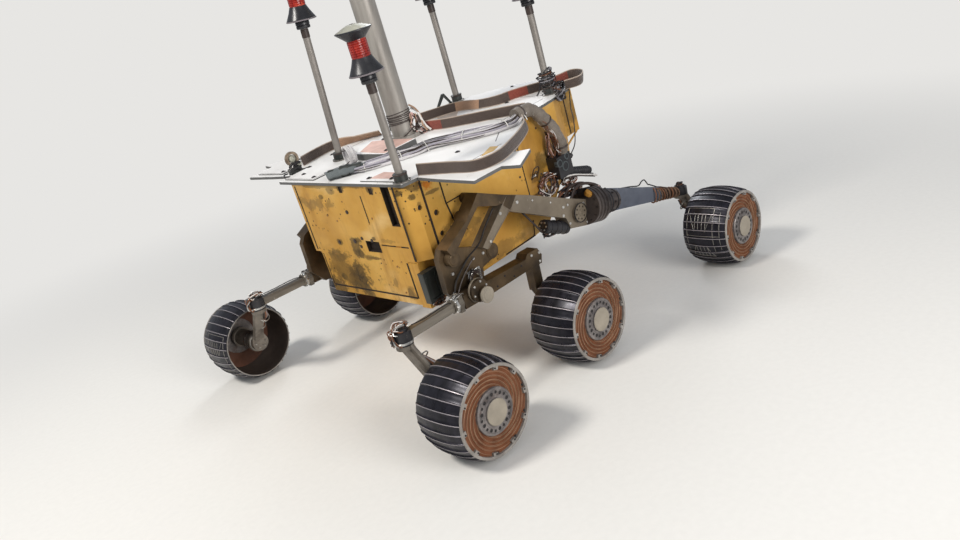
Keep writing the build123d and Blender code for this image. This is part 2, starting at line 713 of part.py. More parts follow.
camera_inner = yoke_half + camera_side_gap
camera_bar = Pos(mast_x, mast_y, bar_z) * Box(bar_depth - 28, 2 * (yoke_half - yoke_wall - camera_side_gap), 36)
trunnion_half = camera_inner + 4
camera_bar += rod((mast_x, mast_y - trunnion_half, bar_z), (mast_x, mast_y + trunnion_half, bar_z), trunnion_radius)
for s in (-1, 1):
    box_y = mast_y + s * (camera_inner + camera_box_length / 2)
    camera_bar += Pos(mast_x, box_y, bar_z) * Box(bar_depth, camera_box_length, bar_height)
    for inset in (-18, 22):
        lens_y = box_y + s * inset
        lens_back = mast_x + bar_depth / 2
        lens_front = lens_back + lens_length
        camera_bar += rod((lens_back, lens_y, bar_z), (lens_front, lens_y, bar_z), lens_radius)
        camera_bar -= rod((lens_front - 4, lens_y, bar_z), (lens_front + 1, lens_y, bar_z), lens_radius - 4)
keep_body("camera_bar", camera_bar)


# Corner poles with beacons

# columns: x, y, length of the pole above the deck, lean to the right, lean to the front in degrees
POLES = [
    (-408, -268, 254, 0.0, 0.0),
    (-247, 211, 391, 2.6, 2.6),
    (298, 236, 331, 0.0, 0.0),
    (290, -188, 270, 0.0, 0.0),
]
sockets, poles, bells, lamps, caps = [], [], [], [], []
for x, y, length, lean_right, lean_front in POLES:
    stand = Pos(x, y, deck_top_z) * Rot(lean_right, lean_front, 0)
    pole = stand * rod((0, 0, mast_seat), (0, 0, length), pole_radius)
    sockets.append(rod((x, y, deck_top_z), (x, y, deck_top_z + socket_height), socket_radius))
    poles.append(pole)
    bell_z = length + beacon_collar_height
    lamp_z = bell_z + bell_height
    cap_z = lamp_z + lamp_height
    dome_z = cap_z + cap_funnel_height
    bell = rod((0, 0, length), (0, 0, bell_z), beacon_collar_radius)
    bells.append(stand * (bell + cone((0, 0, bell_z), (0, 0, lamp_z), bell_radius, bell_neck_radius)))
    lamps.append(stand * rod((0, 0, lamp_z), (0, 0, cap_z), lamp_radius))
    cap = cone((0, 0, cap_z), (0, 0, dome_z), bell_neck_radius, cap_radius)
    caps.append(stand * (cap + cone((0, 0, dome_z), (0, 0, dome_z + cap_dome_height), cap_radius, 8)))
keep_body("pole_sockets", *[socket - pole for socket, pole in zip(sockets, poles)])
keep_body("corner_poles", *poles)
keep_body("beacon_bells", *bells)
keep_body("beacon_lamps", *lamps)
keep_body("beacon_caps", *caps)


# Webbing straps standing on edge on the deck

def strap(points, radius, base=deck_top_z):
    path = FilletPolyline(*points, radius=radius)
    return extrude(Plane.XY.offset(base) * trace(path, line_width=strap_thickness), amount=strap_height)


# columns: node name, corners of the strap's path, radius at the corners
STRAPS = [
    ("side_strap", [(-368, -288), (-352, -390), (-338, -472), (-280, -494), (-196, -468), (-118, -430),
                    (-51, -388), (-2, -342)], 30),
    ("cross_strap", [(-9, 70), (1, -10), (34, -86), (64, -148), (100, -228), (110, -250)], 40),
    ("rear_strap", [(-34, 262), (-66, 304), (-116, 352), (-170, 368), (-240, 358), (-298, 340)], 30),
    ("front_strap", [(66, 190), (168, 112), (180, 18), (210, -42), (272, -66), (336, -112), (400, -142),
                     (446, -160), (424, -214), (362, -252), (322, -226)], 20),
]
for name, points, radius in STRAPS:
    keep_body(name, strap(points, radius))


# Harness across the deck and the sleeve that drops over its front right edge

def cord(points, radius, corner, height):
    path = Plane.XY.offset(height) * FilletPolyline(*points, radius=corner)
    start = Plane(origin=path @ 0, z_dir=path % 0)
    return sweep(start * RegularPolygon(radius, cord_sides), path=path)


# columns: x, y of each corner of the strands' shared path
HARNESS = [(-322, -22), (-230, -72), (-142, -132), (-62, -240), (30, -292)]
strand_step = (9.0, 11.0)
cord_height = deck_top_z + cord_gap + cord_radius
strands = []
for k in (-2, -1, 0, 1):
    corners = [(x + k * strand_step[0], y + k * strand_step[1]) for x, y in HARNESS]
    strands.append(cord(corners, cord_radius, 30, cord_height))
keep_body("harness_strands", *strands)

sleeve_y = body_half_shoulder + sleeve_wall_gap
sleeve_top = deck_top_z + sleeve_radius
fall = Plane(origin=(0, -sleeve_y, 0), x_dir=(1, 0, 0), z_dir=(0, -1, 0))
sleeve_path = fall * FilletPolyline((58, sleeve_top), (86, sleeve_top), (166, deck_top_z - 66), (177, 470),
                                    radius=26)
sleeve_start = Plane(origin=sleeve_path @ 0, z_dir=sleeve_path % 0)
sleeve = sweep(sleeve_start * RegularPolygon(sleeve_radius, 2 * cord_sides), path=sleeve_path)

# Connectors under the sleeve, on the body's front right shoulder
wall_y = -body_half_shoulder - 6.0
block = Pos(162, wall_y - 22, 438) * Box(64, 60, 66)
connector = rod((190, wall_y - 32, 406), (284, wall_y - 32, 374), 12)
spout = rod((186, wall_y - 36, 408), (292, wall_y - 36, 356), 5)
keep_body("front_sleeve", sleeve - deck - housing - block)
keep_body("front_connectors", (block + connector + spout) - housing)


def write_parts():
    os.makedirs("parts", exist_ok=True)
    for name, shape in PARTS.items():
        export_step(shape, f"parts/{name}.step")


write_parts()
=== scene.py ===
import math
import random

import bmesh
import bpy
from mathutils import Matrix, Vector


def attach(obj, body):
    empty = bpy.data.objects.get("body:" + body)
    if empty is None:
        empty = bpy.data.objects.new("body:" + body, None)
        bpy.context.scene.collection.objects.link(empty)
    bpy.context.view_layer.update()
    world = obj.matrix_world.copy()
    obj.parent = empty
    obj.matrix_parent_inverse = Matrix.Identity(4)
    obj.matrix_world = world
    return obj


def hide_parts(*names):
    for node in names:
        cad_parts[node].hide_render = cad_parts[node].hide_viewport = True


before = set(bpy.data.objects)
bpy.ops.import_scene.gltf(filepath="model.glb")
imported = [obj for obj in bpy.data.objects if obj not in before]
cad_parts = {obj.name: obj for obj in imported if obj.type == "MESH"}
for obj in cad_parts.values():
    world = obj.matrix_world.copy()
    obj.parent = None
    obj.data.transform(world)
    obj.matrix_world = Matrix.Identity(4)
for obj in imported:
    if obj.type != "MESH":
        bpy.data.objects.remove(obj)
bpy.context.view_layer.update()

MM = 0.001

# Driving sizes in millimetres, the same as the frame's
AXLE_X = 585.0
CORNER_Y = 530.0
MIDDLE_X = -113.0
MIDDLE_Y = 479.0
WHEEL_RADIUS = 125.0
DRUM_RADIUS = 121.0
DRUM_HALF = 74.0
CLEATS = 30
DECK_Z = 621.0
REAR_X = -423.0
SIDE_Y = 272.0
BODY_PITCH = math.radians(3.5)
MOUNT = Vector((-250.0, 0.0, 505.0)) * MM

# From millimetres to metres, level and with the body's pitch
SCALE = Matrix.Scale(MM, 4)
BODY = (Matrix.Translation(MOUNT) @ Matrix.Rotation(-BODY_PITCH, 4, "Y") @ Matrix.Translation(-MOUNT)) @ SCALE
HERE = Matrix.Identity(4)

RIGHT, LEFT = -1, 1
FULL_TURN = 2 * math.pi
# A turned form's last radius where it closes on its axis
AXIS = 0.02


# Mesh making

class Shape:
    """Points in millimetres and faces with a material number each."""

    def __init__(self):
        self.points, self.faces, self.paints, self.uvs = [], [], [], []

    def add(self, points, faces, paint=0, place=HERE, uvs=None):
        start = len(self.points)
        self.points += [place @ Vector(p) for p in points]
        for face in faces:
            self.faces.append([start + i for i in face])
            self.paints.append(paint)
            self.uvs.append([uvs[i] for i in face] if uvs else [(0.0, 0.0)] * len(face))

    def placed(self, place):
        made = Shape()
        made.points = [place @ p for p in self.points]
        made.faces, made.paints, made.uvs = self.faces, self.paints, self.uvs
        return made


def turns(count, start=0.0):
    """Angles that share out a full turn."""
    return [FULL_TURN * i / count + start for i in range(count)]


def quads(rows, count):
    """Faces between rows of points, each row closed on itself."""
    sides = [(k, (k + 1) % count) for k in range(count)]
    return [(low + a, low + b, low + count + b, low + count + a)
            for low in range(0, rows * count, count) for a, b in sides]


def moved(place, x, y, z):
    return place @ Matrix.Translation((x, y, z))


def facing(at, direction):
    """Matrix that puts local Z along direction at a point."""
    return Matrix.Translation(Vector(at)) @ Vector(direction).to_track_quat("Z", "Y").to_matrix().to_4x4()


def around(place, radius, count, start=0.0, height=0.0):
    """Places on a circle about local Z, each with its X outward."""
    return [moved(place @ Matrix.Rotation(angle, 4, "Z"), radius, 0, height) for angle in turns(count, start)]


def circle(radius, count, start=0.0):
    """Pairs of coordinates on a circle."""
    return [(radius * math.cos(angle), radius * math.sin(angle)) for angle in turns(count, start)]


def loop(middle, u, v, steps):
    """Closed line of an ellipse with the half axes u and v."""
    angles = [FULL_TURN * k / steps for k in range(steps + 1)]
    return [Vector(middle) + Vector(u) * math.cos(a) + Vector(v) * math.sin(a) for a in angles]


def smooth(points, per_run=7):
    """Points of a smooth curve through the given ones."""
    points = [Vector(p) for p in points]
    ends = [2 * points[0] - points[1]] + points + [2 * points[-1] - points[-2]]
    line = []
    for a, b, c, d in zip(ends, ends[1:], ends[2:], ends[3:]):
        for i in range(per_run):
            t = i / per_run
            line.append(0.5 * ((2 * b) + (c - a) * t + (2 * a - 5 * b + 4 * c - d) * t * t
                               + (3 * b - a - 3 * c + d) * t ** 3))
    return line + [points[-1]]


def between(stops, share):
    """Value at a share of the way from (share, value) stops."""
    for (a, low), (b, high) in zip(stops, stops[1:]):
        if share <= b:
            return low + (high - low) * (share - a) / (b - a)
    return stops[-1][1]


def sided(side, points):
    """Points given for the right side, moved to the named side."""
    return [Vector((x, -side * y, z)) for x, y, z in points]


def block(shape, size, place, paint=0):
    """Rectangular block centred on place."""
    x, y, z = (s / 2 for s in size)
    points = [(i, j, k) for k in (-z, z) for j in (-y, y) for i in (-x, x)]
    faces = [(0, 2, 3, 1), (4, 5, 7, 6), (0, 1, 5, 4), (2, 6, 7, 3), (0, 4, 6, 2), (1, 3, 7, 5)]
    shape.add(points, faces, paint, place)


def prism(shape, low, high, paint, place):
    """Solid between two outlines with the same number of corners."""
    count = len(low)
    ends = [tuple(range(count)), tuple(range(count, 2 * count))]
    shape.add(low + high, quads(1, count) + ends, paint, place)


def lathe(shape, profile, steps, place, paint=0, caps=False):
    """Turned form about local Z from (radius, height) pairs; paint may be one number for each band."""
    rings = [[(x, y, height) for x, y in circle(radius, steps)] for radius, height in profile]
    band_paints = paint if isinstance(paint, list) else [paint] * (len(profile) - 1)
    for low, high, band_paint in zip(rings, rings[1:], band_paints):
        shape.add(low + high, quads(1, steps), band_paint, place)
    for end in (0, -1):
        if caps and profile[end][0] > AXIS:
            shape.add(rings[end], [tuple(range(steps))], band_paints[end], place)


def hoop(shape, inner, outer, low, high, steps, place, paint, edge=1.0):
    """Raised ring about local Z with slanted edges."""
    lathe(shape, [(inner, low), (outer, low + edge), (outer, high - edge), (inner, high)], steps, place, paint)


def bolt(shape, at, out, radius, height, place, paint=0, sides=12):
    """Bolt head that stands out from a face."""
    profile = [(radius, -0.3), (radius, height * 0.75), (radius * 0.85, height), (AXIS, height)]
    lathe(shape, profile, sides, place @ facing(at, out), paint)


def tube(shape, line, radius, place, sides=7, paint=0):
    """Round tube along a line; radius may be a function of the share of the way."""
    line = [Vector(p) for p in line]
    last = len(line) - 1
    points, uvs = [], []
    normal = (line[1] - line[0]).orthogonal()
    for i, p in enumerate(line):
        ahead = (line[min(i + 1, last)] - line[max(i - 1, 0)]).normalized()
        normal = (normal - normal.dot(ahead) * ahead).normalized()
        side = ahead.cross(normal)
        size = radius(i / last) if callable(radius) else radius
        for k, angle in enumerate(turns(sides)):
            points.append(p + (normal * math.cos(angle) + side * math.sin(angle)) * size)
            uvs.append((i / last, k / sides))
    ends = [tuple(range(sides)), tuple(range(last * sides, (last + 1) * sides))]
    shape.add(points, quads(last, sides) + ends, paint, place, uvs)


def cables(shape, rows, place, sides=7, side=RIGHT):
    """Round cables along smooth lines, from rows of points, radius and paint."""
    for points, radius, paint in rows:
        tube(shape, smooth(sided(side, points)), radius, place, sides, paint)


# columns: side, share of the height of each edge of the webbing's section
BAND_STEPS = [(1, 0.0), (1, 0.10), (1, 0.5), (1, 0.90), (1, 1.0)]
BAND_STEPS += [(-1, rise) for _, rise in reversed(BAND_STEPS)]
# Waves of the webbing: its twist in degrees and its length, its sideways sag and its length
TWIST, TWIST_RUN, SAG, SAG_RUN = 2.5, 41.0, 0.5, 17.0


def band(shape, line, width, thickness, place, paint_at, lean):
    """Flat webbing that stands on edge along a line in the XY plane; lean gives its tilt in degrees and paint_at
    its paint at a share of the way."""
    line = [Vector(p) for p in line]
    last, count = len(line) - 1, len(BAND_STEPS)
    points, uvs = [], []
    run = 0.0
    for i, p in enumerate(line):
        run += (p - line[i - 1]).length if i else 0.0
        ahead = line[min(i + 1, last)] - line[max(i - 1, 0)]
        across = Vector((-ahead.y, ahead.x, 0)).normalized()
        tilt = math.radians(lean(i / last) + TWIST * math.sin(run / TWIST_RUN))
        up = across * math.sin(tilt) + Vector((0, 0, math.cos(tilt)))
        side = (across * math.cos(tilt) - Vector((0, 0, math.sin(tilt)))) * thickness / 2
        lift = Vector((0, 0, abs(math.sin(tilt)) * thickness / 2))
        for s, rise in BAND_STEPS:
            thin = 1.0 if 0.05 < rise < 0.95 else 0.62
            sag = across * SAG * math.sin(run / SAG_RUN) * math.sin(math.pi * rise)
            points.append(p + lift + s * side * thin + sag + up * width * rise)
            uvs.append((run / width, rise))
    for i in range(last):
        cut = slice(i * count, (i + 2) * count)
        shape.add(points[cut], quads(1, count), paint_at(i / last), place, uvs[cut])
    for share, cut in ((0.0, slice(0, count)), (1.0, slice(-count, None))):
        shape.add(points[cut], [tuple(range(count))], paint_at(share), place, uvs[cut])


def tangle(shape, centre, size, count, radius, colours, seed, place):
    """Loops of thin wire that fill an egg-shaped space."""
    chance = random.Random(seed)
    for i in range(count):
        points = []
        turn = chance.uniform(0, FULL_TURN)
        tip = chance.uniform(-0.9, 0.9)
        for k in range(6):
            angle = turn + k * chance.uniform(0.7, 1.3)
            reach = chance.uniform(0.65, 1.0)
            points.append((centre[0] + size[0] * reach * math.cos(angle),
                           centre[1] + size[1] * (0.8 * tip * math.sin(angle) + 0.3 * chance.uniform(-1, 1)),
                           centre[2] + size[2] * reach * math.sin(angle)))
        tube(shape, smooth(points, 4), radius * chance.uniform(0.7, 1.25), place, 5, colours[i % len(colours)])


def tangles(shape, rows, place):
    for row in rows:
        tangle(shape, *row, place)


def finish_piece(shape, name, paint_names, crease=35, body="chassis"):
    """Makes the piece, with its paints in the order of their numbers, and joins it to its body."""
    mesh = bpy.data.meshes.new(name)
    mesh.from_pydata([tuple(p) for p in shape.points], [], shape.faces)
    layer = mesh.uv_layers.new(name="run")
    for polygon, paint, uvs in zip(mesh.polygons, shape.paints, shape.uvs):
        polygon.material_index = paint
        for corner, uv in zip(polygon.loop_indices, uvs):
            layer.data[corner].uv = uv
    for paint in paint_names.split():
        mesh.materials.append(paints[paint])
    mesh.validate()
    weld(mesh)
    mesh.polygons.foreach_set("use_smooth", [True] * len(mesh.polygons))
    mesh.set_sharp_from_angle(angle=math.radians(crease))
    piece = bpy.data.objects.new(name, mesh)
    bpy.context.scene.collection.objects.link(piece)
    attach(piece, body)
    return piece


def weld(mesh):
    """Joins points that lie together and turns the faces outward."""
    work = bmesh.new()
    work.from_mesh(mesh)
    bmesh.ops.remove_doubles(work, verts=work.verts, dist=1e-6)
    bmesh.ops.recalc_face_normals(work, faces=work.faces)
    work.to_mesh(mesh)
    work.free()


# Materials

class Paint:
    """A Principled material with short ways to add nodes."""

    def __init__(self, name, rough=0.5, metal=0.0, specular=0.5, coat=0.0, sheen=0.0):
        self.material = bpy.data.materials.new(name)
        self.material.use_nodes = True
        self.tree = self.material.node_tree
        self.shader = self.tree.nodes["Principled BSDF"]
        for socket, value in (("Roughness", rough), ("Metallic", metal), ("Specular IOR Level", specular),
                              ("Coat Weight", coat), ("Sheen Weight", sheen)):
            self.shader.inputs[socket].default_value = value
        self.coords = self.node("ShaderNodeTexCoord")

    def node(self, kind, **values):
        made = self.tree.nodes.new(kind)
        for key, value in values.items():
            if key in made.inputs:
                made.inputs[key].default_value = value
            else:
                setattr(made, key, value)
        return made

    def link(self, a, b):
        self.tree.links.new(a, b)

    def connect(self, socket, value):
        if isinstance(value, bpy.types.NodeSocket):
            self.link(value, socket)
        elif isinstance(value, (int, float)):
            socket.default_value = value
        else:
            socket.default_value = (*value, 1.0)

    def where(self, stretch=(1, 1, 1), space="Object"):
        mapping = self.node("ShaderNodeMapping", Scale=stretch)
        self.link(self.coords.outputs[space], mapping.inputs["Vector"])
        return mapping.outputs["Vector"]

    def noise(self, scale, detail=4.0, rough=0.55, stretch=(1, 1, 1)):
        made = self.node("ShaderNodeTexNoise", Scale=scale, Detail=detail, Roughness=rough)
        self.link(self.where(stretch), made.inputs["Vector"])
        return made.outputs["Fac"]

    def spots(self, scale):
        made = self.node("ShaderNodeTexVoronoi", Scale=scale)
        self.link(self.where(), made.inputs["Vector"])
        return made.outputs["Distance"]

    def wave(self, scale, stretch=(1, 1, 1), space="UV", direction="X"):
        made = self.node("ShaderNodeTexWave", Scale=scale, Distortion=0.0, bands_direction=direction)
        self.link(self.where(stretch, space), made.inputs["Vector"])
        return made.outputs["Fac"]

    def range(self, value, low, high, to_low=0.0, to_high=1.0, soft=False):
        made = self.node("ShaderNodeMapRange", interpolation_type="SMOOTHSTEP" if soft else "LINEAR")
        for socket, number in (("From Min", low), ("From Max", high), ("To Min", to_low), ("To Max", to_high)):
            made.inputs[socket].default_value = number
        self.link(value, made.inputs["Value"])
        return made.outputs["Result"]

    def ramp(self, value, *stops):
        made = self.node("ShaderNodeValToRGB")
        elements = made.color_ramp.elements
        while len(elements) < len(stops):
            elements.new(0.5)
        for element, (at, colour) in zip(elements, stops):
            element.position = at
            element.color = (*colour, 1.0)
        self.link(value, made.inputs["Fac"])
        return made.outputs["Color"]

    def mix(self, share, a, b):
        made = self.node("ShaderNodeMix", data_type="RGBA")
        for socket, value in (("Factor", share), (6, a), (7, b)):
            self.connect(made.inputs[socket], value)
        return made.outputs[2]

    def maths(self, kind, a, b=0.0):
        made = self.node("ShaderNodeMath", operation=kind)
        for i, value in enumerate((a, b)):
            self.connect(made.inputs[i], value)
        return made.outputs[0]

    def vector_maths(self, kind, a, b=None):
        made = self.node("ShaderNodeVectorMath", operation=kind)
        self.link(a, made.inputs[0])
        if b is not None:
            made.inputs[1].default_value = b
        return made.outputs["Value" if kind == "LENGTH" else 0]

    def part(self, space, axis):
        """One coordinate of a space such as Object, Normal or UV."""
        split = self.node("ShaderNodeSeparateXYZ")
        self.link(self.coords.outputs[space], split.inputs["Vector"])
        return split.outputs[axis]

    def blot(self, middle, half, ragged, strength):
        """Share that is covered by a ragged egg-shaped blot, drawn level in millimetres; the blots are stains, a few
        of them painted shade and shadow.
        """
        apart = self.vector_maths("SUBTRACT", self.coords.outputs["Object"], BODY @ Vector(middle))
        reach = self.vector_maths("LENGTH", self.vector_maths("DIVIDE", apart, [h * MM for h in half]))
        edge = self.maths("ADD", reach, self.maths("MULTIPLY", ragged, 3.4))
        return self.range(edge, 2.32, 2.62, strength, 0.0, soft=True)

    def colour(self, value):
        self.connect(self.shader.inputs["Base Color"], value)

    def roughness(self, value):
        self.connect(self.shader.inputs["Roughness"], value)

    def bump(self, height, strength=0.3, distance=0.5):
        made = self.node("ShaderNodeBump", Strength=strength, Distance=distance * MM)
        self.link(height, made.inputs["Height"])
        normal = self.shader.inputs["Normal"]
        if normal.is_linked:
            self.link(normal.links[0].from_socket, made.inputs["Normal"])
        self.link(made.outputs["Normal"], normal)


# columns: y, z of each stain on the housing's rear face, its half width and half height, how dark it is; one entry is
# a painted shadow, not a stain
REAR_STAINS_AND_SHADOW = [
    (-8, 606, 21, 13, 0.97), (-147, 604, 25, 16, 0.97), (-250, 590, 18, 13, 0.9), (40, 318, 52, 66, 0.97),
    (110, 345, 92, 52, 0.62), (128, 322, 20, 17, 0.95), (8, 408, 26, 22, 0.92), (-2, 447, 28, 15, 0.95),
    (-86, 458, 12, 9, 0.9), (86, 437, 15, 11, 0.8), (-170, 300, 15, 24, 0.8), (-60, 397, 40, 7, 0.85),
    (49, 322, 64, 74, 0.95), (117, 392, 64, 26, 0.80), (6, 438, 30, 24, 0.85), (175, 288, 46, 40, 0.90),
    # The first entry on the next row, at y 142 and z 556, is the painted shadow of the cable bundle on the rear face.
    (142, 556, 90, 26, 0.55), (45, 600, 24, 16, 0.70), (100, 575, 18, 10, 0.80), (-175, 300, 22, 30, 0.55),
    (-40, 398, 34, 10, 0.65), (60, 610, 200, 8, 0.60), (-150, 455, 60, 9, 0.35), (-120, 330, 14, 20, 0.5),
]
STAIN_DEPTH = 30
# columns: middle of each stain on the other faces, its half sizes, how dark it is; one entry is painted shade, not a
# stain
OTHER_STAINS_AND_SHADE = [
    ((-402, -258, 604), (22, 26, 9), 0.92), ((-394, -272, 572), (10, 30, 12), 0.88),
    ((-330, -272, 562), (26, 30, 5), 0.85), ((-372, -272, 596), (40, 30, 16), 0.85),
    ((-330, -272, 604), (60, 30, 7), 0.70), ((-384, -272, 545), (10, 30, 12), 0.6),
    ((-120, -272, 606), (160, 30, 6), 0.55), ((120, -262, 470), (60, 60, 34), 0.70),
    ((80, -262, 440), (60, 60, 20), 0.60), ((175, -245, 430), (60, 60, 50), 0.75),
    # The second entry on the next row darkens the right side of the nose: painted shade, not a stain.
    ((-270, -262, 430), (90, 60, 30), 0.50), ((345, -190, 560), (60, 60, 90), 0.55),
    ((-200, -240, 300), (200, 60, 24), 0.45), ((-380, -240, 300), (30, 60, 40), 0.40),
    ((-350, 262, 480), (70, 60, 60), 0.5),
]
# Painted light: the orange patch beneath the deck's rear right corner paints the shade there, warmed by light
# reflected off the gold; and a cluster of specks on the rear face
ORANGE_REFLECTED_SHADE = ((-342, -272, 588), (28, 30, 17))
SPECKLED = ((REAR_X, -100, 368), (30, 70, 50))


def gold_paint():
    """Gold skin with its stains, streaks, specks and soft dents; a few blots are painted shadow and shade, and one
    orange patch is painted reflected light.
    """
    p = Paint("gold", rough=0.38, metal=0.45)
    base = p.ramp(p.noise(3.2, 5.0), (0.30, (0.46, 0.225, 0.034)), (0.50, (0.66, 0.365, 0.070)),
                  (0.70, (0.84, 0.55, 0.16)))
    pale = p.range(p.noise(5.0, 4.0, 0.5, (1, 1, 2.2)), 0.56, 0.70, 0.0, 0.45)
    base = p.mix(pale, base, (0.88, 0.66, 0.32))
    streak = p.range(p.noise(10.0, 6.0, 0.7, (1, 1, 0.16)), 0.54, 0.70, 0.0, 0.60)
    base = p.mix(streak, base, (0.33, 0.145, 0.030))
    ragged = p.noise(19.0, 9.0, 0.74)
    cover = 0.0
    rear = [((REAR_X, y, z), (STAIN_DEPTH, wide, high), dark) for y, z, wide, high, dark in REAR_STAINS_AND_SHADOW]
    for middle, half, dark in rear + OTHER_STAINS_AND_SHADE:
        cover = p.maths("MAXIMUM", cover, p.blot(middle, half, ragged, dark))
    tone = p.ramp(p.noise(13.0, 6.0, 0.7), (0.36, (0.022, 0.015, 0.006)), (0.56, (0.085, 0.055, 0.018)),
                  (0.76, (0.30, 0.18, 0.050)))
    broken = p.range(p.noise(38.0, 6.0, 0.75), 0.36, 0.60, 0.70, 1.0)
    # The blots lay the stain colour; the listed shadow and shade blots use the same colour as painted shade.
    base = p.mix(p.maths("MULTIPLY", cover, broken), base, tone)
    # Painted reflected light: warm orange shade under the deck's rear right corner.
    reflected_orange = p.ramp(p.noise(26.0, 6.0, 0.7), (0.35, (0.30, 0.085, 0.006)), (0.6, (0.78, 0.24, 0.012)))
    base = p.mix(p.blot(*ORANGE_REFLECTED_SHADE, ragged, 0.92), base, reflected_orange)
    low = p.range(p.part("Object", "Z"), 0.27, 0.46, 1.0, 0.15)
    grime = p.range(p.noise(6.5, 8.0, 0.74), 0.52, 0.63)
    base = p.mix(p.maths("MULTIPLY", p.maths("MULTIPLY", low, grime), 0.75), base, (0.19, 0.105, 0.036))
    scratch = p.range(p.noise(42.0, 8.0, 0.8, (1, 1, 0.25)), 0.66, 0.69, 0.0, 0.65)
    base = p.mix(scratch, base, (0.30, 0.16, 0.045))
    speck = p.range(p.spots(58.0), 0.12, 0.19, 1.0, 0.0)
    sparse = p.maths("MAXIMUM", p.range(p.noise(7.0, 2.0), 0.52, 0.58), p.blot(*SPECKLED, ragged, 1.0))
    p.colour(p.mix(p.maths("MULTIPLY", speck, sparse), base, (0.040, 0.020, 0.010)))
    p.roughness(p.range(p.noise(14.0, 4.0), 0.3, 0.7, 0.32, 0.58))
    p.bump(p.noise(7.0, 3.0), 0.35, 3.0)
    p.bump(p.noise(160.0, 3.0), 0.10, 0.4)
    return p.material


def white_paint():
    """White deck paint with smudges and specks, and painted shade that darkens every face turned away from the sky.
    """
    p = Paint("white", specular=0.4)
    base = p.ramp(p.noise(5.0, 5.0), (0.35, (0.74, 0.72, 0.70)), (0.65, (0.84, 0.83, 0.82)))
    smudge = p.range(p.noise(8.0, 7.0, 0.7), 0.60, 0.74, 0.0, 0.55)
    base = p.mix(smudge, base, (0.36, 0.31, 0.28))
    specks = p.maths("MULTIPLY", p.range(p.spots(60.0), 0.07, 0.11, 1.0, 0.0),
                     p.range(p.noise(4.0, 2.0), 0.58, 0.62))
    base = p.mix(specks, base, (0.08, 0.06, 0.05))
    # Painted shade: faces that do not face up are darkened towards near black.
    edge = p.range(p.part("Normal", "Z"), 0.45, 0.8, 1.0, 0.0)
    p.colour(p.mix(edge, base, (0.10, 0.10, 0.098)))
    p.roughness(p.range(p.noise(20.0, 3.0), 0.3, 0.7, 0.4, 0.6))
    p.bump(p.noise(120.0, 3.0), 0.12, 0.3)
    return p.material


def metal_paint(name, dark, light, rough, metal, scale=9.0, wear=None, grime=None, stretch=(1, 1, 1)):
    """Metal or paint with cloudy colour, scratches and, if asked, worn patches and grime."""
    p = Paint(name, rough=rough, metal=metal)
    base = p.ramp(p.noise(scale, 6.0, 0.6, stretch), (0.32, dark), (0.68, light))
    if grime:
        base = p.mix(p.range(p.noise(scale * 0.7, 7.0, 0.7), 0.55, 0.68, 0.0, 0.85), base, grime)
    if wear:
        scratch = p.range(p.noise(scale * 6, 8.0, 0.75, (1, 1, 0.3)), 0.66, 0.70, 0.0, 0.8)
        base = p.mix(scratch, base, wear)
    p.colour(base)
    p.roughness(p.range(p.noise(scale * 3, 4.0), 0.3, 0.7, rough * 0.8, min(1.0, rough * 1.25)))
    p.bump(p.noise(220.0, 3.0), 0.08, 0.25)
    return p.material


def plain_paint(name, colour, rough=0.5, metal=0.0, vary=0.18):
    """Small even parts: one hue with slight cloudiness and fine grain."""
    p = Paint(name, rough=rough, metal=metal)
    low, high = (tuple(min(1.0, c * (1 + sign * vary)) for c in colour) for sign in (-1, 1))
    p.colour(p.ramp(p.noise(24.0, 5.0), (0.3, low), (0.7, high)))
    p.roughness(p.range(p.noise(60.0, 3.0), 0.3, 0.7, rough * 0.85, min(1.0, rough * 1.15)))
    p.bump(p.noise(90.0, 3.0), 0.1, 0.3)
    return p.material


def webbing_paint(name, dark, light):
    """Woven webbing with a pale rim along both edges, a painted highlight of the light caught by the strap's top
    edge.
    """
    p = Paint(name, rough=0.85, specular=0.25, sheen=0.25)
    weave = p.wave(6.0, (9.0, 0.0, 1), direction="DIAGONAL")
    ribs = p.wave(9.0, direction="Y")
    base = p.mix(weave, dark, light)
    base = p.mix(p.range(p.noise(11.0, 5.0), 0.4, 0.7, 0.0, 0.5), base, tuple(c * 0.55 for c in dark))
    # Painted highlight: pale rim along the edges of the strap.
    rim = p.maths("ABSOLUTE", p.maths("SUBTRACT", p.part("UV", "Y"), 0.5))
    p.colour(p.mix(p.range(rim, 0.41, 0.46, 0.0, 0.75), base, (0.50, 0.40, 0.32)))
    p.bump(weave, 0.35, 0.5)
    p.bump(ribs, 0.25, 0.4)
    return p.material


def braid_paint(name, dark, light):
    """Braided cover whose two sets of threads cross."""
    p = Paint(name, rough=0.6, specular=0.4, sheen=0.1)
    knit = p.maths("MAXIMUM", *(p.wave(9.0, (14.0, slant, 1), direction="DIAGONAL") for slant in (2.0, -2.0)))
    p.colour(p.mix(p.maths("MULTIPLY", knit, p.range(p.noise(26.0, 4.0), 0.3, 0.7, 0.5, 1.0)), dark, light))
    p.bump(knit, 0.4, 0.6)
    return p.material


def foam_paint():
    """Clay-coloured foam of the wheel's face."""
    p = Paint("foam", rough=0.9, specular=0.2)
    base = p.ramp(p.noise(30.0, 6.0, 0.6), (0.3, (0.085, 0.030, 0.014)), (0.55, (0.140, 0.052, 0.024)),
                  (0.8, (0.20, 0.085, 0.046)))
    p.colour(p.mix(p.range(p.noise(12.0, 5.0), 0.5, 0.7, 0.0, 0.5), base, (0.12, 0.055, 0.035)))
    p.bump(p.noise(300.0, 4.0), 0.5, 0.6)
    return p.material


def lamp_red():
    """Ribbed red lamp glass."""
    p = Paint("lamp", rough=0.22, coat=0.4)
    p.colour(p.ramp(p.noise(34.0, 5.0, 0.7), (0.3, (0.15, 0.008, 0.006)), (0.55, (0.34, 0.022, 0.013)),
                    (0.75, (0.62, 0.10, 0.045))))
    p.bump(p.wave(14.0, (1, 1, 60.0), space="Object", direction="Z"), 0.08, 0.5)
    return p.material


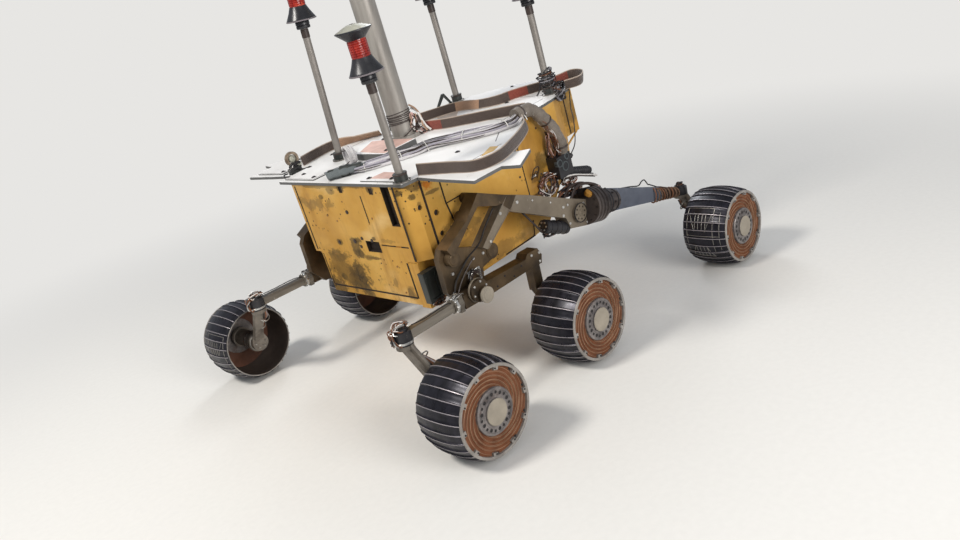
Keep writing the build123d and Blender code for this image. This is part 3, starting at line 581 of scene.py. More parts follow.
# columns: dark and light colour, roughness, metal, scale of the clouds, worn spots, grime, stretch of the clouds
METALS = {
    "grey": ((0.012, 0.014, 0.013), (0.060, 0.064, 0.058), 0.36, 0.3, 9, (0.20, 0.19, 0.17), None, (4, 4, 0.5)),
    "mast": ((0.21, 0.19, 0.170), (0.41, 0.385, 0.35), 0.42, 0.35, 4, None, (0.20, 0.17, 0.145), (6, 6, 0.5)),
    "pole": ((0.14, 0.125, 0.112), (0.29, 0.265, 0.240), 0.45, 0.35, 12, None, (0.12, 0.105, 0.09), (2, 2, 0.4)),
    "tube": ((0.085, 0.072, 0.058), (0.25, 0.222, 0.185), 0.38, 0.5, 10, (0.52, 0.49, 0.45), None, (0.25, 5, 5)),
    "slate": ((0.062, 0.072, 0.098), (0.120, 0.132, 0.165), 0.5, 0.2, 7, (0.30, 0.31, 0.34), (0.060, 0.066, 0.080)),
    "drum": ((0.018, 0.014, 0.014), (0.13, 0.105, 0.095), 0.36, 0.45, 12, (0.34, 0.29, 0.24), (0.09, 0.06, 0.035)),
    "strut": ((0.10, 0.085, 0.070), (0.25, 0.22, 0.185), 0.45, 0.35, 14, (0.42, 0.36, 0.30), (0.05, 0.035, 0.025)),
    "ring": ((0.12, 0.075, 0.045), (0.44, 0.36, 0.27), 0.4, 0.4, 40),
    "bronze": ((0.020, 0.014, 0.009), (0.135, 0.088, 0.045), 0.42, 0.55, 9, (0.42, 0.33, 0.24), (0.05, 0.035, 0.025)),
    "taupe": ((0.125, 0.100, 0.072), (0.23, 0.190, 0.140), 0.45, 0.30, 8, (0.5, 0.45, 0.38), (0.10, 0.06, 0.035)),
    "black": ((0.010, 0.010, 0.012), (0.038, 0.036, 0.040), 0.4, 0.3, 14, (0.30, 0.26, 0.22)),
    "wheel": ((0.006, 0.006, 0.009), (0.024, 0.022, 0.032), 0.30, 0.5, 16, (0.12, 0.11, 0.12), None, (1, 3, 1)),
    # Painted reflected light: a lighter brown copy of the black drum for its inner wall, for the light that bounces
    # into it.
    "inside": ((0.040, 0.029, 0.024), (0.115, 0.090, 0.076), 0.6, 0.1, 8),
    "rim": ((0.17, 0.155, 0.14), (0.33, 0.305, 0.28), 0.5, 0.25, 30),
    # Painted shade: a darker copy of the foam for the back of the wheel's face.
    "foam_back": ((0.055, 0.022, 0.013), (0.150, 0.058, 0.030), 0.7, 0.1, 14),
    "flange": ((0.085, 0.076, 0.076), (0.25, 0.225, 0.215), 0.45, 0.4, 40, None, (0.10, 0.07, 0.06)),
    "beacon": ((0.010, 0.010, 0.012), (0.03, 0.03, 0.034), 0.3, 0.1, 20),
}
# columns: colour, roughness, metal, how much the colour varies
PLAINS = {
    "pink": ((0.62, 0.40, 0.34), 0.6),
    "cleat": ((0.36, 0.325, 0.345), 0.40, 0.5, 0.3),
    "spiral": ((0.29, 0.165, 0.095), 0.5, 0.1),
    "cap": ((0.27, 0.235, 0.185), 0.6, 0.0, 0.16),
    "hole": ((0.012, 0.010, 0.010), 0.8),
    "steel": ((0.50, 0.49, 0.47), 0.3, 0.8),
    "copper": ((0.155, 0.062, 0.028), 0.5, 0.1),
    "wire_dark": ((0.035, 0.022, 0.018), 0.5),
    "wire_white": ((0.66, 0.63, 0.60), 0.55),
    "wire_rose": ((0.60, 0.38, 0.34), 0.45),
    "wire_black": ((0.012, 0.010, 0.011), 0.45),
    "joint": ((0.020, 0.011, 0.006), 0.8, 0.0, 0.4),
    "gold_dark": ((0.30, 0.16, 0.05), 0.5, 0.3, 0.3),
    "steel_dull": ((0.24, 0.225, 0.205), 0.42, 0.7, 0.35),
    "amber": ((0.42, 0.20, 0.03), 0.4, 0.2, 0.3),
    "lamp_deep": ((0.20, 0.012, 0.010), 0.2),
    "dome": ((0.36, 0.355, 0.29), 0.40, 0.1, 0.25),
    "yellow": ((0.62, 0.38, 0.10), 0.6, 0.0, 0.3),
    "glass": ((0.008, 0.010, 0.018), 0.06),
    "tie": ((0.62, 0.60, 0.56), 0.5),
}
# columns: dark and light colour
BRAIDS = {
    "wire_grey": ((0.16, 0.14, 0.15), (0.52, 0.49, 0.50)),
    "sleeve": ((0.060, 0.048, 0.038), (0.255, 0.215, 0.178)),
    "rag": ((0.045, 0.022, 0.012), (0.19, 0.105, 0.060)),
    "boot": ((0.055, 0.065, 0.068), (0.15, 0.17, 0.175)),
    "strand_white": ((0.42, 0.40, 0.41), (0.70, 0.68, 0.68)),
    "strand_lilac": ((0.27, 0.25, 0.30), (0.48, 0.45, 0.50)),
    "strand_grey": ((0.13, 0.125, 0.14), (0.29, 0.28, 0.30)),
}
WEBBINGS = {
    "webbing": ((0.050, 0.034, 0.028), (0.110, 0.080, 0.066)),
    "red_web": ((0.17, 0.035, 0.022), (0.30, 0.075, 0.050)),
    "tan_web": ((0.30, 0.17, 0.10), (0.50, 0.31, 0.20)),
}


def rover_paints():
    made = {"gold": gold_paint(), "white": white_paint(), "foam": foam_paint(), "lamp": lamp_red()}
    for make, rows in ((metal_paint, METALS), (plain_paint, PLAINS), (braid_paint, BRAIDS),
                       (webbing_paint, WEBBINGS)):
        made.update({name: make(name, *values) for name, values in rows.items()})
    return made


paints = rover_paints()

# The CAD nodes that keep their shape, by paint
NODE_PAINTS = {
    "gold": "body_housing corner_cover nose_struts",
    "white": "deck_plate access_plates camera_bar",
    "grey": "corner_box deck_fittings pole_sockets",
    "mast": "mast_collar mast_tube mast_pan_head",
    "pole": "corner_poles",
    "ring": "lifting_ring",
    "black": "front_connectors lift_motors steering_motors",
    "drum": "lift_drums",
    "bronze": "rocker_braces rocker_feet rocker_mounts bogie_beams bogie_pivots middle_legs",
    "taupe": "rocker_beams lift_fittings",
    "slate": "front_arms",
    "tube": "bogie_tubes",
    "rag": "arm_sleeves",
    "cap": "pivot_caps",
    "strut": "fork_front_left fork_front_right fork_rear_left fork_rear_right",
}
EDGE_WIDTH = 0.8


def dress_nodes():
    """Paints the CAD nodes and rounds their edges slightly."""
    for paint, names in NODE_PAINTS.items():
        for name in names.split():
            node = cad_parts[name]
            node.data.materials.clear()
            node.data.materials.append(paints[paint])
            edge = node.modifiers.new("edges", "BEVEL")
            edge.width = EDGE_WIDTH * MM
            edge.segments = 2
            edge.limit_method = "ANGLE"
            edge.angle_limit = math.radians(40)
            edge.harden_normals = False


dress_nodes()


# Wheels: drum with blade-like cleats, and the dished face with its spirals

# columns: distance along the rim from a cleat's middle, share of the cleat's height
CLEAT_STEPS = [(0.9, 1.0), (1.5, 0.85), (2.6, 0.12), (4.4, 0.0), (9.0, 0.0)]
CLEAT_STEPS = [(-along, rise) for along, rise in reversed(CLEAT_STEPS)] + CLEAT_STEPS
CLEAT_HEIGHT = WHEEL_RADIUS - DRUM_RADIUS
DRUM_ROWS = 18
DRUM_WALL = 3.5
CROWN_FALL = 10.5


def crown(share):
    """Drum radius at a share of the half width."""
    return DRUM_RADIUS - CROWN_FALL * abs(share) ** 2.3


def wheel_shape():
    """Drum about local Z with the outer face at +Z."""
    shape = Shape()
    pitch = FULL_TURN / CLEATS
    ring = [(angle + along / DRUM_RADIUS, rise) for angle in turns(CLEATS, pitch / 2) for along, rise in CLEAT_STEPS]
    count = len(ring)
    points = []
    for row in range(DRUM_ROWS + 1):
        share = -1 + 2 * row / DRUM_ROWS
        radius = crown(share)
        fade = 1.0 - 0.45 * max(0.0, (abs(share) - 0.9) / 0.1)
        for angle, rise in ring:
            r = radius + CLEAT_HEIGHT * rise * fade * radius / DRUM_RADIUS
            points.append((r * math.cos(angle), r * math.sin(angle), share * DRUM_HALF))
    sides, tips = [], []
    for face in quads(DRUM_ROWS, count):
        full = all(ring[corner % count][1] == 1.0 for corner in face)
        (tips if full else sides).append(face)
    shape.add(points, sides, 0)
    shape.add(points, tips, 1)
    inner = [(crown(-1), -DRUM_HALF)]
    inner += [(crown(share) - DRUM_WALL, share * DRUM_HALF) for share in (-1, -0.6, 0, 0.6, 1)]
    inner += [(crown(1), DRUM_HALF)]
    # The inner wall takes paint 2, a lighter brown that paints light reflected into the black drum.
    lathe(shape, inner, 120, HERE, [3, 2, 2, 2, 2, 0])
    return shape


RIM_OUTER = 112.5
RIM_INNER = 105.0
FLANGE_RADIUS = 57.5
CAP_RADIUS = 32.5
FOAM_Z = DRUM_HALF - 5.0
SPIRALS = 8
SPIRAL_TURN = math.radians(215)
# columns: angle behind the first rib of a spiral, its height, its width
SPIRAL_RIBS = [(0.0, 3.0, 1.0), (0.16, 1.9, 0.7)]
TABS = 10
HOLES = 20
# columns: distance from the middle and size of the flange's holes, which take turns
HOLE_SIZES = [(44.2, 4.9), (45.6, 3.9)]


def spiral_line(start):
    line = []
    for k in range(41):
        t = k / 40
        angle = start + SPIRAL_TURN * t
        radius = FLANGE_RADIUS - 1 + (RIM_INNER + 1 - FLANGE_RADIUS) * t ** 0.92
        line.append((radius * math.cos(angle), radius * math.sin(angle), FOAM_Z - 1.8))
    return line


def hub_shape():
    """Face of the wheel about local Z: foam, spirals, rim ring with tabs, flange with holes, cap."""
    shape = Shape()
    top = DRUM_HALF + 2.0
    foam = [(RIM_INNER + 1, FOAM_Z - 12), (RIM_INNER + 1, FOAM_Z + 1), (98, FOAM_Z + 0.5), (84, FOAM_Z - 1.0),
            (70, FOAM_Z - 1.5), (FLANGE_RADIUS - 1, FOAM_Z - 0.5), (FLANGE_RADIUS - 1, FOAM_Z - 12)]
    ring = [(RIM_INNER, FOAM_Z), (RIM_INNER, top + 0.2), (RIM_INNER + 0.8, top + 1), (RIM_OUTER - 0.8, top + 1),
            (RIM_OUTER, top + 0.2), (RIM_OUTER, DRUM_HALF), (RIM_INNER, FOAM_Z)]
    flange = [(FLANGE_RADIUS, FOAM_Z - 11), (FLANGE_RADIUS, top - 1.5), (FLANGE_RADIUS - 1.5, top), (51.5, top),
              (50.8, top - 1.2), (38.5, top - 1.2), (37.8, top), (CAP_RADIUS, top), (CAP_RADIUS, top + 4.5),
              (CAP_RADIUS - 1.5, top + 6.0), (AXIS, top + 6.3)]
    back = [(RIM_INNER + 1, FOAM_Z - 12), (FLANGE_RADIUS, FOAM_Z - 12)]
    well = [(FLANGE_RADIUS, FOAM_Z - 11), (FLANGE_RADIUS - 6, top - 18), (14.0, top - 18)]
    # The back disc takes paint 6, a darker foam that paints the shade behind the face.
    for profile, steps, paint in ((foam, 96, 0), (ring, 120, 1), (flange, 72, [3] * 8 + [5] * 2), (back, 72, 6),
                                  (well, 48, 3)):
        lathe(shape, profile, steps, HERE, paint)
    for start in turns(SPIRALS):
        for behind, height, width in SPIRAL_RIBS:
            band(shape, spiral_line(start + behind), height, width, HERE, lambda share: 2, lambda share: 0.0)
    for tab in around(HERE, RIM_INNER, TABS, math.pi / TABS):
        block(shape, (9, 13, 7.4), moved(tab, -3.4, 0, DRUM_HALF - 1.2), 1)
        lathe(shape, [(2.2, 0), (2.2, 1.6), (1.4, 2.0)], 10, moved(tab, -4.0, 3.0, DRUM_HALF + 2.5), 4, caps=True)
        block(shape, (5, 7, 1.0), moved(tab, -3.5, 12.5, FOAM_Z + 1.4), 4)
    for i, middle in enumerate(around(HERE, 0, HOLES, height=top - 1.1)):
        radius, size = HOLE_SIZES[i % 2]
        hole = moved(middle, radius, 0, 0)
        lathe(shape, [(size + 0.9, -0.2), (size + 0.9, 0.5), (size, 0.7), (size, -0.1)], 14, hole, 3)
        lathe(shape, [(size, 0.12), (AXIS, 0.13)], 14, hole, 4)
    return shape


# columns: share of the width and degrees below level of both ends of each pale line on the two latticed drums
LATTICE = [(-0.78, -46, -0.78, 24), (0.45, -46, 0.45, 24), (0.74, -40, 0.74, 20), (-0.80, -3, 0.76, -3),
           (-0.80, -46, 0.45, -46), (-0.80, 24, 0.45, 24), (-0.66, -37, 0.42, -37), (-0.62, 33, 0.36, 33),
           (-0.66, -36, -0.40, -10), (0.40, -36, 0.10, -10), (-0.66, 34, -0.40, 12), (0.34, 34, 0.08, 12)]
LATTICE += [(share, low, share, low + 22) for share in (-0.38, -0.22, -0.04, 0.12) for low in (-35, 11)]
# How many degrees lower the lines stand on each of the two drums
LATTICED = {"front_right": 0, "rear_left": 14}


def lattice_shape(turn, lower):
    shape = Shape()
    for share_a, angle_a, share_b, angle_b in LATTICE:
        points = []
        for k in range(9):
            share = share_a + (share_b - share_a) * k / 8
            angle = math.radians(angle_a + (angle_b - angle_a) * k / 8 + lower)
            way = turn.inverted() @ Vector((-math.cos(angle), 0, -math.sin(angle)))
            points.append(way * (crown(share) + 0.3) + Vector((0, 0, share * DRUM_HALF)))
        tube(shape, points, 0.95, HERE, 6)
    return shape


# columns: name, how far to the front and to the side the wheels stand
AXLES = [("front", AXLE_X, CORNER_Y), ("middle", MIDDLE_X, MIDDLE_Y), ("rear", -AXLE_X, CORNER_Y)]


def build_wheels():
    drum, hub = wheel_shape(), hub_shape()
    for end, x, y in AXLES:
        for hand, side in (("right", RIGHT), ("left", LEFT)):
            name = end + "_" + hand
            turn = Vector((0, side, 0)).to_track_quat("Z", "X").to_matrix().to_4x4()
            place = moved(SCALE, x, side * y, WHEEL_RADIUS) @ turn
            tyre = finish_piece(drum.placed(place), "drum_" + name, "wheel cleat inside rim", 30,
                                "wheel_" + name)
            if name in LATTICED:
                finish_piece(lattice_shape(turn, LATTICED[name]).placed(place), "lattice_" + name, "steel_dull",
                             60, "wheel_" + name)
            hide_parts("wheel_" + name)
            face = finish_piece(hub.placed(place), "face_" + name, "foam rim spiral flange hole cap foam_back",
                                35, "wheel_" + name)
            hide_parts("hub_" + name)


build_wheels()


# Screws and webbing on the deck

# columns: x, y of each screw on the deck, drawn level, and the height of what it stands on
DECK_SCREWS = [(-76, 206, 0), (-203, 316, 0), (-375, 227, 3.9), (-203, -266, 0), (423, 89, 0), (423, -89, 0),
               (-300, 420, 0), (-340, 300, 0), (140, -180, 0), (230, 170, 0), (230, -60, 0), (-60, -120, 0),
               (-330, -470, 0), (-250, -440, 0), (-395, 145, 3.9), (-318, 278, 3.9), (-355, 372, 3.9),
               (-252, 432, 3.9), (-137, 120, 20.9), (-234, -8, 20.9), (-397, -120, 4.0), (-397, -216, 4.0)]


def build_deck_screws():
    shape = Shape()
    for x, y, height in DECK_SCREWS:
        place = moved(BODY, x, y, DECK_Z + height)
        lathe(shape, [(7.6, 0), (7.6, 0.8), (6.8, 1.2)], 16, place, 0, caps=True)
        lathe(shape, [(4.2, 1.2), (4.2, 2.6), (3.4, 3.2), (AXIS, 3.2)], 12, place, 1, caps=True)
    finish_piece(shape, "deck_screws", "wire_dark beacon")


build_deck_screws()

WEB_HEIGHT = 31.0
WEB_THICKNESS = 4.0
# columns: node, corners of the path, tilt in degrees at shares of the way, parts in another paint (from, to, paint)
STRAPS = [
    ("side_strap", [(-368, -288), (-352, -390), (-338, -472), (-280, -494), (-196, -468), (-118, -430), (-51, -388),
                    (-2, -342)], [(0, 6), (0.3, -5), (0.6, 4), (1, 10)], []),
    ("cross_strap", [(-9, 70), (1, -10), (34, -86), (64, -148), (100, -228), (110, -250)],
     [(0, 0), (0.5, 5), (1, -8)], [(0.0, 0.17, 1)]),
    ("rear_strap", [(-34, 262), (-66, 304), (-116, 352), (-170, 368), (-240, 358), (-298, 340)],
     [(0, 48), (0.30, 40), (0.48, 12), (1, -4)], [(0.0, 0.46, 2)]),
    ("front_strap", [(66, 190), (168, 112), (180, 18), (210, -42), (272, -66), (336, -112), (400, -142), (446, -160),
                     (424, -214), (362, -252), (322, -226)],
     [(0, 10), (0.22, 34), (0.34, 6), (0.5, -14), (0.72, 8), (1, 18)],
     [(0.36, 0.45, 1), (0.56, 0.66, 1), (0.10, 0.20, 2)]),
]


def build_straps():
    for name, path, tilts, others in STRAPS:
        shape = Shape()
        line = smooth([(x, y, DECK_Z) for x, y in path], 14)

        def paint_at(share, parts=others):
            return next((paint for start, end, paint in parts if start <= share < end), 0)

        band(shape, line, WEB_HEIGHT, WEB_THICKNESS, BODY, paint_at, lambda share, stops=tilts: between(stops, share))
        web = finish_piece(shape, "web_" + name, "webbing red_web tan_web", 50)
        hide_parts(name)


build_straps()


# Harness: a loose bundle of many thin strands from the boot to the sleeve

HARNESS_PATH = [(-352, 4), (-332, -13), (-277, -54), (-242, -74), (-212, -96), (-173, -108), (-135, -143),
                (-96, -195), (-60, -247), (-10, -282), (30, -285), (60, -284)]
HARNESS_LINE = smooth([(x, y, DECK_Z) for x, y in HARNESS_PATH], 12)
# columns: paint, radius of the strand, place across the bundle, height above the deck
STRANDS = [
    (0, 4.6, -25, 5), (1, 4.2, -17, 5), (2, 3.4, -9, 4), (0, 4.8, -1, 5), (1, 4.2, 8, 5), (2, 3.6, 16, 4),
    (0, 4.4, 24, 5), (1, 3.0, -21, 12), (0, 3.0, -13, 12), (3, 2.4, -5, 12), (1, 3.4, 3, 13), (0, 2.8, 11, 12),
    (2, 2.6, 19, 11), (3, 1.6, -17, 16), (0, 1.8, -8, 17), (2, 1.8, 0, 18), (3, 1.5, 7, 17), (1, 2.0, 14, 16),
    (3, 1.3, 27, 9), (3, 1.4, -29, 9), (2, 1.6, -3, 8),
]
TIES = [0.10, 0.27, 0.45, 0.63, 0.80, 0.93]
TIE_WIDTH, TIE_RISE = 29, 20.5
# Share of the way, and there the bundle's width, its lift onto the sleeve and the width of its ties
SQUEEZE = [(0, 0.6), (0.10, 1.0), (0.35, 1.3), (0.62, 1.35), (0.80, 1.05), (0.90, 0.55), (1, 0.45)]
LIFT = [(0, 0), (0.84, 0), (0.94, 9), (1, 10)]
TIE_SQUEEZE = [(0, 0.75), (0.10, 1.05), (0.35, 1.35), (0.62, 1.4), (0.80, 1.1), (1, 0.7)]


def harness_point(share):
    """Place and sideways direction on the bundle's middle line."""
    at = share * (len(HARNESS_LINE) - 1)
    i = min(int(at), len(HARNESS_LINE) - 2)
    ahead = (HARNESS_LINE[i + 1] - HARNESS_LINE[i]).normalized()
    return HARNESS_LINE[i].lerp(HARNESS_LINE[i + 1], at - i), Vector((-ahead.y, ahead.x, 0))


def build_harness():
    chance = random.Random(41)
    shape = Shape()
    for paint, radius, across, height in STRANDS:
        turn, lift = chance.uniform(0, 6.3), chance.uniform(0, 6.3)
        points = []
        for k in range(25):
            share = k / 24
            middle, side = harness_point(share)
            wander = 4.2 * math.sin(turn + 11 * share) * (1 - share ** 6) + 1.4 * chance.uniform(-1, 1)
            rise = max(radius + 0.4, height + 3.0 * math.sin(lift + 13 * share)) + between(LIFT, share)
            points.append(middle + side * (across * between(SQUEEZE, share) + wander) + Vector((0, 0, rise)))
        tube(shape, smooth(points, 3), radius, BODY, 8, paint)
    for share in TIES:
        middle, side = harness_point(share)
        wide = TIE_WIDTH * between(TIE_SQUEEZE, share)
        arch = loop(middle + Vector((0, 0, 1.2)), side * wide, (0, 0, TIE_RISE), 32)[:17]
        tube(shape, arch, 1.5, BODY, 6, 4)
    bundle = finish_piece(shape, "harness_bundle", "strand_white strand_lilac strand_grey wire_dark tie",
                          60)
    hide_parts("harness_strands")


build_harness()

# columns: points, radius, paint
KNOT_CORDS = [
    ([(-384, 292, 632), (-372, 288, 640), (-352, 286, 636), (-334, 288, 626), (-318, 284, 625)], 2.2, 1),
    ([(-380, 306, 628), (-396, 300, 630), (-404, 286, 626), (-398, 270, 625)], 2.2, 1),
]


def build_ring_knot():
    """Ball and cords held in the ring at the deck's rear left."""
    shape = Shape()
    ball = [(AXIS, -11), (6, -9.5), (10.5, -5), (12, 0), (10.5, 5), (6, 9.5), (AXIS, 11)]
    lathe(shape, ball, 24, BODY @ facing((-352, 302, DECK_Z + 44), (0, RIGHT, 0)))
    tangle(shape, (-352, 298, DECK_Z + 20), (26, 9, 14), 16, 2.0, [1, 2, 1, 0, 1], 19, BODY)
    cables(shape, KNOT_CORDS, BODY)
    finish_piece(shape, "ring_knot", "dome wire_black wire_white", 50)


build_ring_knot()

BOOT_LINE = [(-410, 52, 13), (-388, 34, 15), (-366, 12, 16), (-344, -10, 14), (-330, -20, 13)]
BOOT_FLATNESS = 0.66


def build_boot():
    """Dark wrinkled cover where the harness comes up through the deck's rear."""
    shape = Shape()
    line = smooth([(x, y, z + 6) for x, y, z in BOOT_LINE], 9)

    def girth(share):
        return 17.0 + 7.0 * math.sin(math.pi * min(1, share * 1.15)) + 1.0 * math.sin(31 * share) - 4.0 * share

    flat = moved(BODY, 0, 0, DECK_Z) @ Matrix.Scale(BOOT_FLATNESS, 4, (0, 0, 1))
    tube(shape, line, girth, flat)
    for k in range(5):
        bow = [(x, y + 5 * k - 10, z + 12 + 3 * math.sin(1.7 * k + 0.09 * x)) for x, y, z in line[::4]]
        tube(shape, smooth(bow, 3), 2.2, flat, 6, 2 if k % 2 else 0)
    finish_piece(shape, "harness_boot", "boot wire_dark strand_grey", 60)


build_boot()


# Hank of cable on edge beside the rear left pole; its turns differ and fan out

HANK_MIDDLE = Vector((-282.0, 104.0, DECK_Z + 28.5))
HANK_TURN = math.radians(-18.0)
HANK_RADIUS = 23.5
HANK_SPREAD = 25.0
HANK_TURNS = 5
POINTS_A_TURN = 14
CABLE_RADIUS = 2.4
UP = Vector((0, 0, 1))


def build_hank():
    along = Vector((-math.sin(HANK_TURN), math.cos(HANK_TURN), 0))
    across = Vector((math.cos(HANK_TURN), math.sin(HANK_TURN), 0))
    chance = random.Random(7)
    points = []
    for i in range(HANK_TURNS * POINTS_A_TURN + 1):
        share = i / (HANK_TURNS * POINTS_A_TURN)
        angle = FULL_TURN * i / POINTS_A_TURN - math.pi / 2
        radius = HANK_RADIUS + 1.6 * math.sin(2.1 * share * HANK_TURNS) + 0.25 * chance.uniform(-1, 1)
        points.append(HANK_MIDDLE + along * radius * math.cos(angle) + across * HANK_SPREAD * (share - 0.5)
                      + UP * radius * math.sin(angle) * 1.02)
    curve = bpy.data.curves.new("cable_turns", "CURVE")
    curve.dimensions = "3D"
    curve.bevel_depth = CABLE_RADIUS * MM
    curve.bevel_resolution = 3
    curve.use_fill_caps = True
    spline = curve.splines.new("NURBS")
    spline.points.add(len(points) - 1)
    for point, at in zip(spline.points, points):
        point.co = (*(BODY @ at), 1.0)
    spline.order_u = 3
    spline.use_endpoint_u = True
    curve.materials.append(paints["strand_white"])
    cable = bpy.data.objects.new("cable_turns", curve)
    bpy.context.scene.collection.objects.link(cable)
    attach(cable, "chassis")
    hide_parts("cable_hank")
    ties = Shape()
    for degrees in (-90, 35):
        angle = math.radians(degrees)
        middle = HANK_MIDDLE + along * HANK_RADIUS * math.cos(angle) + UP * 24.0 * math.sin(angle)
        outward = along * math.cos(angle) + UP * math.sin(angle)
        tube(ties, loop(middle, across * 16.5, outward * 4.6, 24), 1.0, BODY, 6)
    finish_piece(ties, "hank_ties", "wire_dark", 60)


build_hank()


# Sleeve that drops over the deck's edge to the connectors, with frayed wires

SLEEVE_Y = -284.0
SLEEVE_LINE = [(20, 640), (58, 641), (92, 632), (128, 596), (158, 553), (174, 512), (178, 472)]


def build_sleeve():
    shape = Shape()
    line = smooth([(x, SLEEVE_Y, z) for x, z in SLEEVE_LINE], 12)
    last = len(line) - 1

    def girth(share):
        return 19.0 + 1.1 * math.sin(31 * share) + 0.7 * math.sin(73 * share + 1) - 2.5 * (share > 0.96)

    tube(shape, line, girth, BODY, 22)
    for share in (0.10, 0.55, 0.93):
        i = int(share * last)
        hoop(shape, 19.5, 20.8, -3, 3, 24, BODY @ facing(line[i], line[i + 1] - line[i]), 2)
    chance = random.Random(5)
    for k in range(13):
        points = []
        start = chance.uniform(0.30, 0.55)
        for i in range(8):
            at = line[int(min(0.99, start + i * 0.075) * last)]
            off = (-17 - 4 * chance.uniform(0, 1), chance.uniform(-15, 8), chance.uniform(-5, 5))
            points.append(at + Vector(off))
        tube(shape, smooth(points, 4), chance.uniform(0.9, 1.7), BODY, 6, 1 if k % 4 else 3)
    piece = finish_piece(shape, "sleeve_over_edge", "sleeve copper wire_dark wire_white", 60)
    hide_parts("front_sleeve")


build_sleeve()

# columns: x, z, radius of each plug on the right front shoulder
PLUGS = [(140, 452, 13), (162, 436, 15), (176, 462, 11)]
PLUG_OUT = -289
# columns: centre, half sizes, number of wires, radius, paints, seed
PLUG_TANGLES = [
    ((100, -268, 402), (46, 22, 36), 26, 1.7, [3, 4, 3, 2, 4, 5], 11),
    ((196, -266, 384), (34, 20, 26), 18, 1.6, [4, 3, 5, 4, 2], 12),
    ((152, -272, 500), (26, 13, 50), 16, 1.5, [3, 4, 3, 5], 13),
]
# columns: points, radius, sides, paint, points of a run of each loose wire
PLUG_WIRES = [
    ([(150, -286, 404), (196, -290, 394), (246, -288, 374), (300, -284, 352), (306, -283, 346)], 2.4, 8, 2, 8),
    ([(148, -290, 397), (200, -294, 388), (250, -291, 368), (292, -287, 350)], 1.8, 8, 4, 8),
    ([(37, -270, 442), (36, -286, 472), (48, -290, 478), (60, -286, 470), (60, -270, 440)], 1.6, 6, 4, 6),
    ([(44, -270, 444), (44, -282, 462), (52, -284, 462), (54, -270, 444)], 1.6, 6, 4, 6),
    ([(40, -262, 446), (48, -276, 452), (58, -262, 446)], 3.0, 6, 2, 6),
]


def build_connectors():
    """Plugs, a ribbed backshell and loose wires on the right front shoulder."""
    shape = Shape()
    for x, z, size in PLUGS:
        place = BODY @ facing((x, PLUG_OUT, z), (0, RIGHT, 0))
        plug = [(size, -4), (size, 7), (size - 1.5, 8.5), (size - 4, 8.5), (size - 4, 5), (AXIS, 5)]
        lathe(shape, plug, 24, place)
        for rib in around(place, size, 8, height=3):
            block(shape, (2.0, 2.4, 8.0), rib, 1)
    shell = [(9, -6), (12.6, -4)]
    for i in range(9):
        low = 4 + i * 10.2
        shell += [(12.6, low), (11.4, low + 1.2), (11.4, low + 3.0), (12.6, low + 4.2)]
    shell += [(12.6, 97), (10.5, 100), (AXIS, 100)]
    lathe(shape, shell, 28, BODY @ facing((184, -276, 410), (94, 0, -32)), 1)
    for points, radius, sides, paint, per_run in PLUG_WIRES:
        tube(shape, smooth(points, per_run), radius, BODY, sides, paint)
    tangles(shape, PLUG_TANGLES, BODY)
    finish_piece(shape, "connector_details", "boot black wire_white copper wire_dark wire_rose", 45)


build_connectors()

FRONT_POLE = Vector((290, -188, DECK_Z))
# columns: points, radius, paint
NOSE_CABLES = [
    ([(300, -150, 626), (330, -166, 650), (318, -190, 690), (296, -200, 700), (276, -190, 684), (268, -170, 640),
      (262, -160, 625)], 2.2, 1),
    ([(340, -170, 624), (330, -190, 660), (306, -196, 688), (286, -200, 676), (276, -214, 640), (272, -232, 624)],
     1.6, 2),
    ([(352, -196, 625), (384, -196, 627), (396, -178, 626), (392, -150, 630), (372, -132, 640)], 1.8, 1),
]
NOSE_DROP = [(330, -226, 626), (342, -222, 612), (338, -216, 560), (326, -226, 520), (292, -240, 462),
             (248, -250, 438)]
NOSE_TANGLES = [
    ((316, -204, 636), (28, 22, 15), 22, 1.8, [1, 0, 2, 1, 3, 1], 31),
    ((270, -246, 618), (24, 12, 14), 14, 1.7, [1, 0, 1, 2], 32),
]


def build_front_cables():
    """Cables round the front right pole, over the nose and down its side."""
    shape = Shape()
    chance = random.Random(23)
    for i, paint in enumerate((1, 2, 1, 0, 1, 3, 1)):
        radius = 16 + 3.2 * i % 14
        points = []
        for k in range(12):
            angle = FULL_TURN * k / 9 + i
            rise = 24 + 6.5 * i % 44 + k * 0.9
            points.append(FRONT_POLE + Vector((radius * math.cos(angle), radius * math.sin(angle), rise)))
        tube(shape, smooth(points, 4), chance.uniform(1.4, 2.4), BODY, 6, paint)
    cables(shape, NOSE_CABLES, BODY)
    tangles(shape, NOSE_TANGLES, BODY)
    tube(shape, smooth(NOSE_DROP, 10), 1.7, BODY, 7, 1)
    plug = [(4, -5), (7, -3), (7, 6), (4, 9), (AXIS, 9)]
    lathe(shape, plug, 16, BODY @ facing((246, -251, 437), (-0.9, -0.2, -0.4)), 1)
    knob = [(AXIS, -6), (5, -3.5), (6, 0), (5, 3.5), (AXIS, 6)]
    lathe(shape, knob, 16, moved(BODY, 300, -204, 696))
    block(shape, (17, 9, 1.2), moved(BODY, 318, -186, 668) @ Matrix.Rotation(0.7, 4, "X"))
    finish_piece(shape, "front_cables", "strand_grey wire_black wire_dark copper", 50)


build_front_cables()


# Mast: windings of wire, knots and a wrap at its foot

MAST_X, MAST_Y, MAST_RADIUS = -65.0, 108.0, 35.5
WINDING_RADIUS = 1.3
MAST_TANGLES = [
    ((-46, 68, 662), (16, 9, 30), 16, 1.6, [0, 1, 0, 2, 3], 17),
    ((-30, 62, 634), (22, 12, 13), 16, 1.9, [0, 2, 0, 1], 18),
]
MAST_CABLES = [
    ([(-34, 80, 704), (-26, 66, 690), (-24, 58, 664), (-20, 50, 640), (-14, 40, 626)], 3.6, 1),
    ([(-44, 74, 716), (-32, 64, 700), (-20, 62, 672), (-30, 52, 648), (-24, 46, 628)], 2.8, 3),
    ([(-100, 90, 624), (-84, 66, 640), (-56, 58, 652), (-30, 66, 640)], 2.2, 0),
]


